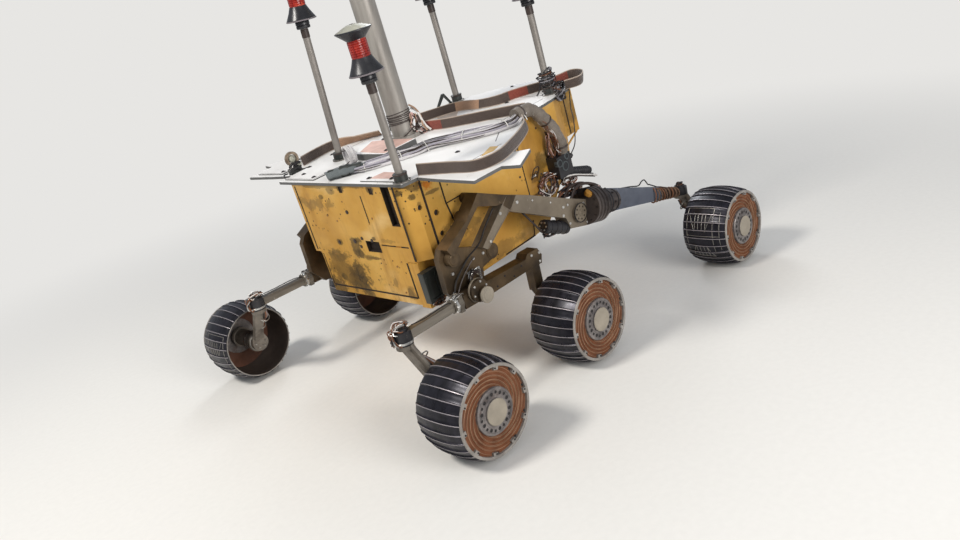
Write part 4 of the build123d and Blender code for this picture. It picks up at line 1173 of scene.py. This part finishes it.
def build_mast_details():
    shape = Shape()
    chance = random.Random(3)
    reach = MAST_RADIUS + WINDING_RADIUS
    for i in range(7):
        slant = chance.uniform(-3.5, 3.5)
        winding = loop((MAST_X, MAST_Y, DECK_Z + 50 + 5.2 * i), (reach, 0, slant * math.sin(i)),
                       (0, reach, slant * math.cos(i)), 36)
        tube(shape, winding, WINDING_RADIUS, BODY, 6)
    tangles(shape, MAST_TANGLES, BODY)
    cables(shape, MAST_CABLES, BODY)
    finish_piece(shape, "mast_windings", "wire_dark wire_white wire_rose tan_web", 50)


build_mast_details()


# Plates, patches and joint lines on the deck

# columns: corners of each thin plate, its paint, its height above the deck
DECK_PATCHES = [
    ([(-398, -125), (-354, -131), (-357, -184), (-395, -237)], 0, 3.6),
    ([(-241, 108), (-152, 161), (-140, 100), (-140, -20), (-256, -24)], 0, 20.5),
    ([(-241, -390), (-171, -358), (-169, -385), (-202, -399)], 1, 0.5),
    ([(96, 118), (118, 62), (196, 128), (222, 214), (206, 252), (168, 246)], 2, 0.8),
    ([(-318, 360), (-368, 360), (-372, 484), (-302, 494), (-236, 438)], 3, 3.5),
    ([(-408, 130), (-408, 268), (-306, 288), (-292, 130)], 3, 3.5),
]
# columns: x and y of both ends of each dark joint line on the deck
DECK_LINES = [
    (-420, 40, -300, 40), (-130, -340, 60, -200), (60, -200, 240, -200), (60, -200, 60, 200), (60, 200, 240, 200),
    (-190, 300, -60, 300), (280, -200, 280, 200), (-290, -380, -150, -380),
]


def build_deck_details():
    shape = Shape()
    for corners, paint, height in DECK_PATCHES:
        low, high = ([(x, y, DECK_Z + height + z) for x, y in corners] for z in (-0.6, 0.4))
        sides = quads(1, len(corners))
        shape.add(low + high, sides + [tuple(range(len(corners), 2 * len(corners)))], paint, BODY)
    for x0, y0, x1, y1 in DECK_LINES:
        run = Vector((x1 - x0, y1 - y0, 0))
        place = moved(BODY, (x0 + x1) / 2, (y0 + y1) / 2, DECK_Z - 0.75)
        block(shape, (run.length, 2.6, 1.0), place @ Matrix.Rotation(math.atan2(run.y, run.x), 4, "Z"), 4)
    finish_piece(shape, "deck_patches", "pink yellow tan_web white wire_dark")


build_deck_details()


# Dark joints, openings and screws of the housing

# columns: low y, low z, high y, high z of each dark joint on the rear face
REAR_JOINTS = [
    (-241.5, 402, -234.5, 611), (216, 404, 221, 606), (-200, 288, -194, 394), (195, 290, 198, 392),
    (-195, 286, 195, 291), (-91.5, 505, -88, 584), (-226, 439.5, -196, 443), (-172, 440, -112, 442.5),
]
# columns: centre y, centre z, width, height, depth of each opening's dark floor
REAR_OPENINGS = [(-205, 557, 34, 111, 15.4), (-72, 433, 61, 32, 13.4), (-7, 600, 15, 17, 3.4),
                 (-142, 598, 15, 17, 3.4)]
# columns: x, z of both ends and width of each dark joint on the sides, and on the belly's sides
SIDE_JOINTS = [
    (-297, 612, -297, 514, 5), (-297, 516, -287, 460, 5), (-297, 514, -244, 514, 3), (-361, 402, -361, 609, 7),
    (10, 402, 10, 604, 3.5), (-388, 400, -361, 402, 3),
]
BELLY_JOINTS = [(-113, 272, 21, 271, 4), (21, 271, 31, 316, 3.5), (68, 299, 62, 241, 2.5)]
# columns: x, z, radius of each round hole in the sides
SIDE_HOLES = [(-384, 540, 7), (-337, 506, 8), (-339, 448, 7)]
# columns: y, z, radius of screws on the rear face
REAR_SCREWS = [(87, 437, 5.5), (-30, 456, 5.0), (-74, 452, 5.5), (100, 520, 3.5), (-3, 534, 6.0), (-110, 520, 3.0),
               (60, 505, 3.0), (-150, 300, 3.0), (150, 300, 3.0), (-150, 380, 3.0), (8, 445, 6.5), (-14, 430, 5.0)]
# columns: x, z of screws on the sides
SIDE_SCREWS = [(-330, 590), (-200, 590), (-120, 560), (-40, 520), (-10, 470), (60, 520), (120, 570), (150, 500),
               (190, 545), (190, 450), (90, 440), (-290, 440), (-60, 410)]


def side_out(x):
    """How far the upper side stands out; it draws in towards the nose."""
    return SIDE_Y - 34 * max(0, x - 10) / 230


def belly_out(x):
    return 240 - 0.139 * max(0, x - 10)


def side_joint(shape, ends, out, depth, side):
    x0, z0, x1, z1, width = ends
    run = Vector((x1 - x0, 0, z1 - z0))
    place = moved(BODY, (x0 + x1) / 2, side * out, (z0 + z1) / 2)
    block(shape, (run.length, depth, width), place @ Matrix.Rotation(-math.atan2(run.z, run.x), 4, "Y"))


def rear_details(shape):
    for y0, z0, y1, z1 in REAR_JOINTS:
        block(shape, (1.0, y1 - y0, z1 - z0), moved(BODY, REAR_X - 0.1, (y0 + y1) / 2, (z0 + z1) / 2))
    for y, z, width, height, depth in REAR_OPENINGS:
        block(shape, (1.0, width, height), moved(BODY, REAR_X + depth, y, z))
        for sign in (-1, 1):
            block(shape, (depth - 1, 0.6, height), moved(BODY, REAR_X + depth / 2, y + sign * width / 2, z))
            block(shape, (depth - 1, width, 0.6), moved(BODY, REAR_X + depth / 2, y, z + sign * height / 2))
    for y, z, radius in REAR_SCREWS:
        bolt(shape, (REAR_X, y, z), (-1, 0, 0), radius, 2.0, BODY, 2 if radius > 4 else 3, 10)
    for i in range(11):
        bolt(shape, (REAR_X, 205 - 38 * i, 396), (-1, 0, 0), 2.3, 1.2, BODY, 3, 8)


def side_details(shape, side):
    out = (0, side, 0)
    for joint in SIDE_JOINTS:
        side_joint(shape, joint, SIDE_Y + 0.1, 1.0, side)
    for joint in BELLY_JOINTS:
        side_joint(shape, joint, belly_out((joint[0] + joint[2]) / 2) + 0.3, 2.0, side)
    nose_joint = moved(BODY, 334, side * 196.6, 540) @ Matrix.Rotation(side * math.atan2(6, 72), 4, "Z")
    block(shape, (4.5, 1.6, 128), nose_joint)
    for x, z, radius in SIDE_HOLES:
        lathe(shape, [(radius - 0.2, 0), (AXIS, 0.1)], 20, BODY @ facing((x, side * (SIDE_Y - 4.5), z), out))
        lathe(shape, [(radius + 2.2, -0.2), (radius + 1.8, 0.8), (radius, 0.8), (radius, -4.5)], 20,
              BODY @ facing((x, side * SIDE_Y, z), out), 1)
    for x, z in SIDE_SCREWS:
        bolt(shape, (x, side * side_out(x), z), out, 3.4, 1.8, BODY, 2, 10)


def rim_screws(shape):
    """Row of small screws under the deck on both sides, with some left out."""
    chance = random.Random(9)
    for i in range(26):
        if chance.random() < 0.6:
            for side in (RIGHT, LEFT):
                bolt(shape, (-365 + 14.2 * i, side * SIDE_Y, 604), (0, side, 0), 2.4, 1.2, BODY, 3, 8)


def build_body_details():
    shape = Shape()
    rear_details(shape)
    for side in (RIGHT, LEFT):
        side_details(shape, side)
    rim_screws(shape)
    tangle(shape, (-404, -258, 279), (24, 14, 8), 16, 1.9, [4, 4, 2, 5, 4], 23, BODY)
    finish_piece(shape, "housing_details", "joint gold wire_dark gold_dark copper wire_white")


build_body_details()


# Suspension fittings, the same on both sides

ROCKER_OUT = 350.0
FOOT_OUT = 326.0
BOGIE_OUT = 368.0
LIFT_COVER = (118, 334)
BOGIE_PIVOT = (-351, 297)
# columns: x, distance out, z, radius, height of each bright bolt
SIDE_BOLTS = [
    (58, ROCKER_OUT, 372, 4.5, 2.6), (52, ROCKER_OUT, 348, 4.5, 2.6), (-120, ROCKER_OUT, 452, 5, 2.5),
    (-190, ROCKER_OUT, 446, 4.5, 2.2), (-246, ROCKER_OUT, 388, 4, 2.0), (-60, ROCKER_OUT, 436, 3.2, 1.6),
    (10, ROCKER_OUT, 404, 3.2, 1.6),
]
SIDE_BOLTS += [(x, ROCKER_OUT, z, 4.0, 2.4) for x, z in ((78, 372), (74, 316), (148, 352), (150, 292))]
FOOT_BOLTS = [(-300, 360), (-330, 330), (-380, 350), (-392, 300), (-300, 300), (-262, 360), (-350, 380), (-290, 330)]
SIDE_BOLTS += [(x, FOOT_OUT, z, 4.2, 3.0) for x, z in FOOT_BOLTS]
SIDE_BOLTS += [(x, BOGIE_OUT, z, 4.0, 2.2) for x, z in ((-128, 300), (-100, 272), (-96, 296))]
# columns: corners of each thin plate on the rocker, its thickness, its paint; both are painted light: the taupe strip
# is the lit band of the diagonal brace beside the deck's shadow, the bronze plate the deck's painted shadow on the
# rocker's top corner
ROCKER_LIGHT_SHADE_PLATES = [
    ([(-158, 441), (-146, 446), (-250, 378), (-262, 372)], 1.0, 5),
    ([(-150, 484), (-118, 472), (-150, 441), (-172, 462)], 0.6, 4),
]
# columns: x, distance out, z, radius of each round boss on the braces
BRACE_BOSSES = [(-378, 346, 392, 12), (-222, 322, 350, 14)]
# columns: points on the right side, radius, paint
BRACE_CABLES = [
    ([(-398, -336, 300), (-380, -334, 330), (-350, -332, 352), (-318, -331, 372), (-292, -356, 402),
      (-262, -356, 432), (-216, -355, 470)], 2.2, 2),
    ([(-392, -340, 296), (-366, -336, 322), (-330, -333, 348), (-300, -333, 366)], 1.8, 1),
    ([(-408, -352, 284), (-440, -352, 296), (-470, -354, 298), (-520, -356, 296), (-566, -352, 298)], 1.5, 2),
]


def round_covers(shape, side):
    """Bolted round covers of the lift drum's block and the bogie's pivot, and the body's pivot."""
    out = (0, side, 0)
    x, z = LIFT_COVER
    cover = SCALE @ facing((x, side * (ROCKER_OUT + 10), z), out)
    lathe(shape, [(29.5, -0.2), (29.5, 1.6), (27.0, 2.2), (27.0, -0.2)], 32, cover, 2)
    lathe(shape, [(9, -0.2), (9, 1.0), (7, 1.8), (AXIS, 1.8)], 24, cover, 5)
    for u, v in circle(19, 8):
        bolt(shape, (x + u, side * (ROCKER_OUT + 6.4), z + v), out, 2.4, 1.2, SCALE, 2, 8)
    x, z = BOGIE_PIVOT
    hoop(shape, 31, 32.2, -14, -8, 32, SCALE @ facing((x, side * (BOGIE_OUT + 16), z), out), 5)
    for u, v in circle(24, 6, 0.3):
        bolt(shape, (x + u, side * (BOGIE_OUT + 16), z + v), out, 3.2, 2.4, SCALE, 3, 8)
    lathe(shape, [(15, 5.8), (14, 7.0), (9, 7.6), (AXIS, 7.6)], 24,
          SCALE @ facing((-343, side * (BOGIE_OUT + 26), 283), out), 7)
    lathe(shape, [(17.5, 0.0), (15, 2.4), (12.5, 0.6), (12.5, -5.5), (5, -5.5), (5, -1.0), (AXIS, -1.0)], 28,
          BODY @ facing((-284, side * 292, 466), out), 6)


def tube_clamp(shape, side):
    """Clamp with its studs where the square rear tube leaves the bogie."""
    place = SCALE @ facing((-423, side * 349, 281), (-1, 0, 0))
    for stud in around(place, 19.5, 8, height=-4):
        lathe(shape, [(2.6, -3), (2.6, 7), (2.0, 8), (AXIS, 8)], 8, stud, 3)
    hoop(shape, 19.2, 21.6, -6, 2, 28, place, 3)


def build_suspension_details():
    shape = Shape()
    for side in (RIGHT, LEFT):
        out = (0, side, 0)
        for x, y, z, radius, height in SIDE_BOLTS:
            bolt(shape, (x, side * y, z), out, radius, height, SCALE, 3)
        for i in range(5):
            bolt(shape, (-310 + 34 * i, side * BOGIE_OUT, 281 + 8 * (-1) ** i), out, 2.8, 1.6, SCALE, 2, 8)
        # Painted light and shade on the rocker: a lit taupe band, and the deck's shadow as a dark plate.
        for corners, thickness, paint in ROCKER_LIGHT_SHADE_PLATES:
            near, far = ([(x, side * y, z) for x, z in corners] for y in (ROCKER_OUT, ROCKER_OUT + thickness))
            prism(shape, near, far, paint, SCALE)
        round_covers(shape, side)
        for x, y, z, radius in BRACE_BOSSES:
            boss = [(radius + 5, -0.2), (radius + 4, 2.0), (radius, 2.6), (radius - 4, 1.2), (AXIS, 1.2)]
            lathe(shape, boss, 28, SCALE @ facing((x, side * y, z), out), 4)
        tangle(shape, (-318, side * 340, 318), (24, 8, 22), 16, 1.5, [1, 2, 1, 3, 7, 1], 51 + side, SCALE)
        tangle(shape, (-404, side * 352, 292), (22, 14, 16), 16, 1.5, [3, 1, 2, 3, 7], 61 + side, SCALE)
        cables(shape, BRACE_CABLES, SCALE, 6, side)
        tube_clamp(shape, side)
    finish_piece(shape, "suspension_fittings", "black wire_dark hole steel bronze taupe steel_dull cap",
                 40)


build_suspension_details()

LIFT_AXIS = Vector((math.cos(math.radians(-11)), 0, math.sin(math.radians(-11))))
# columns: place along the lift drum's axis, radius of the circle, number and size of its bolts
DRUM_BOLTS = [(-29, 46, 12, 3.2), (33, 41, 10, 3.0), (72, 38, 8, 3.4), (100, 33.5, 8, 2.6)]
# columns: points on the right side, radius, paint
DRUM_HOSES = [
    ([(120, -330, 372), (150, -328, 396), (190, -330, 398), (226, -336, 384), (252, -338, 366)], 4.6, 0),
    ([(96, -326, 384), (130, -320, 402), (176, -318, 404), (214, -322, 390), (246, -330, 364)], 3.4, 0),
    ([(84, -318, 392), (120, -312, 396), (160, -310, 388), (200, -314, 384)], 2.6, 2),
    ([(268, -345, 352), (300, -347, 341), (340, -350, 331), (380, -353, 322), (418, -356, 312), (434, -358, 320),
      (448, -360, 321), (460, -362, 303), (470, -364, 297), (520, -376, 268), (566, -384, 254), (584, -386, 248)],
     2.0, 1),
    ([(500, -372, 250), (520, -375, 240), (540, -378, 236), (560, -380, 240), (574, -384, 248)], 1.8, 1),
    ([(60, -318, 322), (20, -322, 314), (-20, -326, 326), (-60, -330, 372), (-90, -332, 410)], 3.0, 0),
]
LIFT_MOTOR_X, LIFT_MOTOR_OUT, LIFT_MOTOR_Z = -16, 328, 340
REAR_MOTOR_X, REAR_MOTOR_OUT = -599, 350


def lift_drum_details(shape, side):
    middle = Vector((188, side * 345, 332))
    for along, radius, count, size in DRUM_BOLTS:
        for place in around(SCALE @ facing(middle + LIFT_AXIS * along, LIFT_AXIS), radius, count):
            lathe(shape, [(size, -2.5), (size, 2.0), (size - 0.8, 2.8), (AXIS, 2.8)], 8, place, 1)
    for along in (44, 58, 90):
        radius = 43 - (along - 30) * 9 / 74
        hoop(shape, radius - 1, radius + 1.6, -3, 3, 36, SCALE @ facing(middle + LIFT_AXIS * along, LIFT_AXIS), 5)
    lathe(shape, [(13, -2), (13, 4), (10, 9), (AXIS, 11)], 20,
          SCALE @ facing((166, side * 362, 376), (-0.2, side * 0.55, 0.8)), 6)
    lathe(shape, [(7, -3), (6, 10), (3.2, 17), (AXIS, 19)], 14,
          SCALE @ facing((236, side * 345, 358), (0.1, 0, 1)), 4)


def lift_motor_details(shape, side):
    start = Vector((LIFT_MOTOR_X, side * LIFT_MOTOR_OUT, LIFT_MOTOR_Z))
    way = Vector((92, 0, -38)).normalized()
    for along in (6, 22, 44, 66, 88):
        hoop(shape, 18.8, 20.4, -3, 3, 28, SCALE @ facing(start + way * along, way), 5 if along % 4 else 1)
    for place in around(SCALE @ facing(start, -way), 12, 6):
        lathe(shape, [(2.6, -0.5), (2.6, 2.5), (AXIS, 2.6)], 8, place, 3)


def arm_wrapping(shape, side):
    """Windings round the narrow end of the front arm."""
    for i in range(9):
        along = i / 8
        middle = (470 + 100 * along, side * (366 + 18 * along), 262 - 24 * along)
        high = 24.5 - 9 * along
        ring = loop(middle, (3 * math.sin(i), side * 14.2, 0), (3 * math.cos(i), 0, high), 20)
        tube(shape, ring, 2.3, SCALE, 6, 7 if i % 3 else 2)


def build_motor_details():
    """Lift drums' bolts and hoses, arm cables and the wire loops at the steering motors."""
    shape = Shape()
    for side in (RIGHT, LEFT):
        lift_drum_details(shape, side)
        lift_motor_details(shape, side)
        arm_wrapping(shape, side)
        cables(shape, DRUM_HOSES, SCALE, 7, side)
        x, y = REAR_MOTOR_X, side * REAR_MOTOR_OUT
        tangles(shape, [
            ((150, side * 306, 390), (60, 20, 14), 16, 2.2, [0, 1, 0, 2, 1], 71 + side),
            ((26, side * 322, 312), (44, 12, 12), 10, 1.8, [0, 1, 2], 75 + side),
            ((x + 2, y - side * 4, 306), (26, 24, 9), 16, 1.7, [2, 1, 3, 2, 8], 81 + side),
            ((x - 24, y - side * 2, 284), (10, 22, 22), 14, 1.7, [2, 3, 1, 2], 85 + side),
            ((599, side * 385, 256), (16, 16, 6), 8, 1.6, [1, 2, 1], 91 + side),
        ], SCALE)
        hoop(shape, 24.2, 25.4, -2, 4, 28, moved(SCALE, x, y, 268), 3)
    finish_piece(shape, "motor_wiring", "wire_dark wire_black copper steel wire_rose black amber rag wire_white",
                 45)


build_motor_details()

# columns: end, its direction, distance out and height of the top of its forks
FORK_TOPS = [("front", 1, 385, 204), ("rear", -1, 350, 244)]
FORK_FOOT = CORNER_Y - 66
# columns: place across the fork, radius, paint of each of its cables
FORK_CABLES = [(0, 4.0, 0), (7, 3.0, 2), (-6, 2.6, 1), (12, 2.0, 0)]


def fork_shape(lead, top_y, top_z, side):
    """Cables and bands of one fork, and the bands and bolts of its drive motor."""
    shape = Shape()
    x = lead * AXLE_X
    for offset, radius, paint in FORK_CABLES:
        points = [(x - lead * 5 + offset * 0.4, top_y + 2, top_z + 4),
                  (x - lead * 7 + offset * 0.5, top_y + 16, top_z - 20),
                  (x - lead * 12 + offset, (top_y + FORK_FOOT) / 2 + 4, (top_z + 140) / 2 + 8),
                  (x - lead * 10 + offset, FORK_FOOT - 10, 158), (x + offset * 0.6, FORK_FOOT + 4, 150)]
        tube(shape, smooth([(px, side * py, pz) for px, py, pz in points]), radius, SCALE, 8, paint)
    way = Vector((0, side * (FORK_FOOT - top_y), 156 - top_z))
    for along in (0.25, 0.6, 0.85):
        place = SCALE @ facing(Vector((x - lead * 8, side * top_y, top_z)) + way * along, way)
        hoop(shape, 15.5, 17.5, -2, 2, 20, place, 3, edge=0.8)
    for y, paint in ((462, 3), (474, 1), (500, 1)):
        place = SCALE @ facing((x, side * y, WHEEL_RADIUS), (0, side, 0))
        hoop(shape, 27.2, 29.2, -2.6, 2.6, 32, place, paint, edge=0.6)
    for place in around(SCALE @ facing((x, side * 444, WHEEL_RADIUS), (0, -side, 0)), 17, 6):
        lathe(shape, [(3, -0.4), (3, 2.4), (2.2, 3.2), (AXIS, 3.2)], 8, place, 3)
    return shape


def build_fork_details():
    for end, lead, top_y, top_z in FORK_TOPS:
        for hand, side in (("right", RIGHT), ("left", LEFT)):
            name = end + "_" + hand
            finish_piece(fork_shape(lead, top_y, top_z, side), "fork_cables_" + name,
                         "copper wire_dark wire_grey steel_dull", 45, "fork_" + name)


build_fork_details()


# Beacons: black bell, red lamp with its reflectors, pale dome with a black rim

# columns: x, y of the pole, its length above the deck, lean to the right, lean to the front in degrees
POLES = [(-408, -268, 254, 0.0, 0.0), (-247, 211, 391, 2.6, 2.6), (298, 236, 331, 0.0, 0.0),
         (290, -188, 270, 0.0, 0.0)]
BELL = [(17, 21), (41.5, 22), (43, 23), (43, 25), (40, 30), (31, 46), (25.5, 58), (24, 62)]
BELL_FOOT = [(11, -1), (19, 0), (20, 2), (20, 8), (18.6, 9.5), (20, 11), (20, 19), (18, 22)]
BELL_RIM = [(43.2, 22.6), (43.8, 23.2), (43.4, 25.6), (42.2, 26)]
DOME_RIM = [(23.5, 103.5), (25, 105), (31, 111), (43.5, 122.5), (45, 124), (45, 126), (42.5, 127.2)]
DOME = [(42.5, 127.2), (36, 129.6), (24, 134.5), (12, 138.2), (AXIS, 139)]
DOME_KNOB = [(5, 137.2), (5, 139.4), (AXIS, 139.6)]
LAMP = [(22.6, 61.5)]
for rib in range(7):
    LAMP += [(radius, 63 + rib * 5.6 + rise) for radius, rise in ((22.8, 0), (22.8, 3.2), (21.6, 4.2), (22.8, 5.2))]
LAMP += [(22.4, 104.5)]


def pole_place(x, y, lean_right, lean_front):
    """Foot of a leaning pole on the deck."""
    lean = Matrix.Rotation(math.radians(lean_right), 4, "X") @ Matrix.Rotation(math.radians(lean_front), 4, "Y")
    return moved(BODY, x, y, DECK_Z) @ lean


def build_beacons():
    bells, lamps, caps = Shape(), Shape(), Shape()
    for x, y, length, lean_right, lean_front in POLES:
        top = moved(pole_place(x, y, lean_right, lean_front), 0, 0, length)
        lathe(bells, BELL_FOOT, 32, top)
        lathe(bells, BELL, 40, top)
        lathe(bells, BELL_RIM, 40, top, 1)
        lathe(lamps, LAMP, 36, top)
        for reflector in around(top, 22.8, 6, 0.4, 83):
            block(lamps, (1.4, 2.2, 38), reflector, 1)
        lathe(caps, DOME_RIM, 40, top)
        lathe(caps, DOME, 40, top, 1)
        lathe(caps, DOME_KNOB, 16, top)
    bell = finish_piece(bells, "beacon_bells_turned", "beacon wire_grey", 40)
    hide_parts("beacon_bells")
    lamp = finish_piece(lamps, "beacon_lamps_ribbed", "lamp lamp_deep", 40)
    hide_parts("beacon_lamps")
    cap = finish_piece(caps, "beacon_domes", "beacon dome", 40)
    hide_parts("beacon_caps")


def build_pole_collars():
    shape = Shape()
    for x, y, length, lean_right, lean_front in POLES:
        foot = pole_place(x, y, lean_right, lean_front)
        lathe(shape, [(18.2, 24), (19.0, 23.2), (19.0, 20), (18.2, 19)], 28, foot)
        lathe(shape, [(18.0, 0.2), (24, 0.2), (24, 3.2), (18.0, 4.2)], 28, foot, 1)
        for u, v in circle(21.2, 4, math.pi / 4):
            bolt(shape, (u, v, 3.2), (0, 0, 1), 2.2, 1.8, foot, 0, 8)
        for way in (1, -1):
            bolt(shape, (18 * way, 0, 12), (way, 0, 0), 3.0, 3.0, foot, 0, 8)
        hoop(shape, 10.6, 11.6, length - 26, length - 2, 24, foot, 0)
    finish_piece(shape, "pole_collars", "wire_dark steel_dull", 40)


build_beacons()
build_pole_collars()


# Camera bar: glass, rims and screws of its two boxes

HEAD_Z = 1447.3
BOX_OUT = 107.0
BOX_HALF = 32
LENS_X = MAST_X + BOX_HALF + 14.0


def build_camera_details():
    shape = Shape()
    for side in (RIGHT, LEFT):
        middle = MAST_Y + side * BOX_OUT
        for inset in (-18, 22):
            place = BODY @ facing((LENS_X, middle + side * inset, HEAD_Z), (1, 0, 0))
            lathe(shape, [(10.6, -3.6), (7, -2.4), (AXIS, -1.9)], 28, place)
            rim = [(15.2, -8), (16.2, -7), (16.2, -1), (15.0, 0.3), (11.2, 0.3), (10.8, -3.8)]
            lathe(shape, rim, 32, place, 1)
        for way, y, z in ((way, y, z) for way in (1, -1) for y in (-36, 36) for z in (-22, 22)):
            bolt(shape, (MAST_X + way * BOX_HALF, middle + y, HEAD_Z + z), (way, 0, 0), 2.6, 1.6, BODY, 2, 8)
        block(shape, (50, 70, 1.4), moved(BODY, MAST_X, middle, HEAD_Z + 28.4), 2)
    finish_piece(shape, "camera_details", "glass beacon steel_dull", 40, "camera_bar")


build_camera_details()


# Camera, stage and lights

# The place of the camera, in metres, and the way it looks, from the photograph's own perspective
CAMERA_AT = (-1.63757525, -1.87994922, 1.05112409)
CAMERA_RIGHT = (0.67972605, -0.69774608, -0.22610376)
CAMERA_DOWN = (-0.39401501, -0.08735284, -0.91494352)
CAMERA_AHEAD = (0.61864745, 0.71099922, -0.33429843)
SENSOR_WIDTH = 36.0
LENS = 30.826


def set_camera():
    lens = bpy.data.cameras.new("camera")
    lens.sensor_width = SENSOR_WIDTH
    lens.lens = LENS
    lens.clip_start = 0.05
    camera = bpy.data.objects.new("camera", lens)
    turn = Matrix((Vector(CAMERA_RIGHT), -Vector(CAMERA_DOWN), -Vector(CAMERA_AHEAD))).transposed().to_4x4()
    camera.matrix_world = Matrix.Translation(CAMERA_AT) @ turn
    bpy.context.scene.collection.objects.link(camera)
    bpy.context.scene.camera = camera


FLOOR_COLOUR = (0.76, 0.745, 0.715)
BACKDROP_COLOUR = (0.80, 0.79, 0.77)
SKY_COLOUR = (0.80, 0.85, 0.93)
SKY_STRENGTH = 0.40
FLOOR_HALF = 14.0
# Metres from the rover between which the floor fades into the backdrop
FADE_FROM, FADE_TO = 1.25, 3.4


def floor_material():
    """Pale, slightly warm floor that fades into the plain background far from the rover."""
    p = Paint("floor_pale", rough=0.95, specular=0.05)
    grain = p.range(p.noise(60.0, 3.0), 0.3, 0.7)
    p.colour(p.mix(grain, FLOOR_COLOUR, tuple(c * 0.97 for c in FLOOR_COLOUR)))
    far = p.range(p.vector_maths("LENGTH", p.coords.outputs["Object"]), FADE_FROM, FADE_TO, soft=True)
    glow = p.node("ShaderNodeEmission", Color=(*BACKDROP_COLOUR, 1.0))
    ray = p.node("ShaderNodeLightPath")
    blend = p.node("ShaderNodeMixShader")
    p.link(p.maths("MULTIPLY", far, ray.outputs["Is Camera Ray"]), blend.inputs[0])
    p.link(p.shader.outputs[0], blend.inputs[1])
    p.link(glow.outputs[0], blend.inputs[2])
    p.link(blend.outputs[0], p.tree.nodes["Material Output"].inputs["Surface"])
    return p.material


def set_stage():
    mesh = bpy.data.meshes.new("floor")
    corners = [(x * FLOOR_HALF, y * FLOOR_HALF, 0) for x, y in ((-1, -1), (1, -1), (1, 1), (-1, 1))]
    mesh.from_pydata(corners, [], [(0, 1, 2, 3)])
    floor = bpy.data.objects.new("floor", mesh)
    mesh.materials.append(floor_material())
    bpy.context.scene.collection.objects.link(floor)
    world = bpy.data.worlds.new("studio")
    world.use_nodes = True
    nodes, link = world.node_tree.nodes, world.node_tree.links.new
    light = nodes["Background"]
    light.inputs["Color"].default_value = (*SKY_COLOUR, 1.0)
    light.inputs["Strength"].default_value = SKY_STRENGTH
    seen = nodes.new("ShaderNodeBackground")
    seen.inputs["Color"].default_value = (*BACKDROP_COLOUR, 1.0)
    blend = nodes.new("ShaderNodeMixShader")
    link(nodes.new("ShaderNodeLightPath").outputs["Is Camera Ray"], blend.inputs[0])
    link(light.outputs[0], blend.inputs[1])
    link(seen.outputs[0], blend.inputs[2])
    link(blend.outputs[0], nodes["World Output"].inputs["Surface"])
    bpy.context.scene.world = world


LIGHT_AIM = Vector((0, 0, 0.4))
# columns: name, place in metres, diameter, power, colour
LIGHTS = [
    ("key", (-2.9, 0.5, 3.6), 1.0, 125, (1.0, 0.965, 0.90)),
    ("fill", (-0.6, -4.2, 1.7), 2.4, 128, (1.0, 0.98, 0.95)),
    ("back", (2.6, 2.8, 3.2), 1.6, 50, (0.94, 0.97, 1.0)),
]


def set_lights():
    for name, at, size, power, colour in LIGHTS:
        light = bpy.data.lights.new(name, "AREA")
        light.shape = "DISK"
        light.size = size
        light.energy = power
        light.color = colour
        lamp = bpy.data.objects.new(name, light)
        lamp.location = at
        lamp.rotation_euler = (LIGHT_AIM - Vector(at)).to_track_quat("-Z", "Y").to_euler()
        bpy.context.scene.collection.objects.link(lamp)


set_camera()
set_stage()
set_lights()
bpy.context.scene.view_settings.view_transform = "Standard"
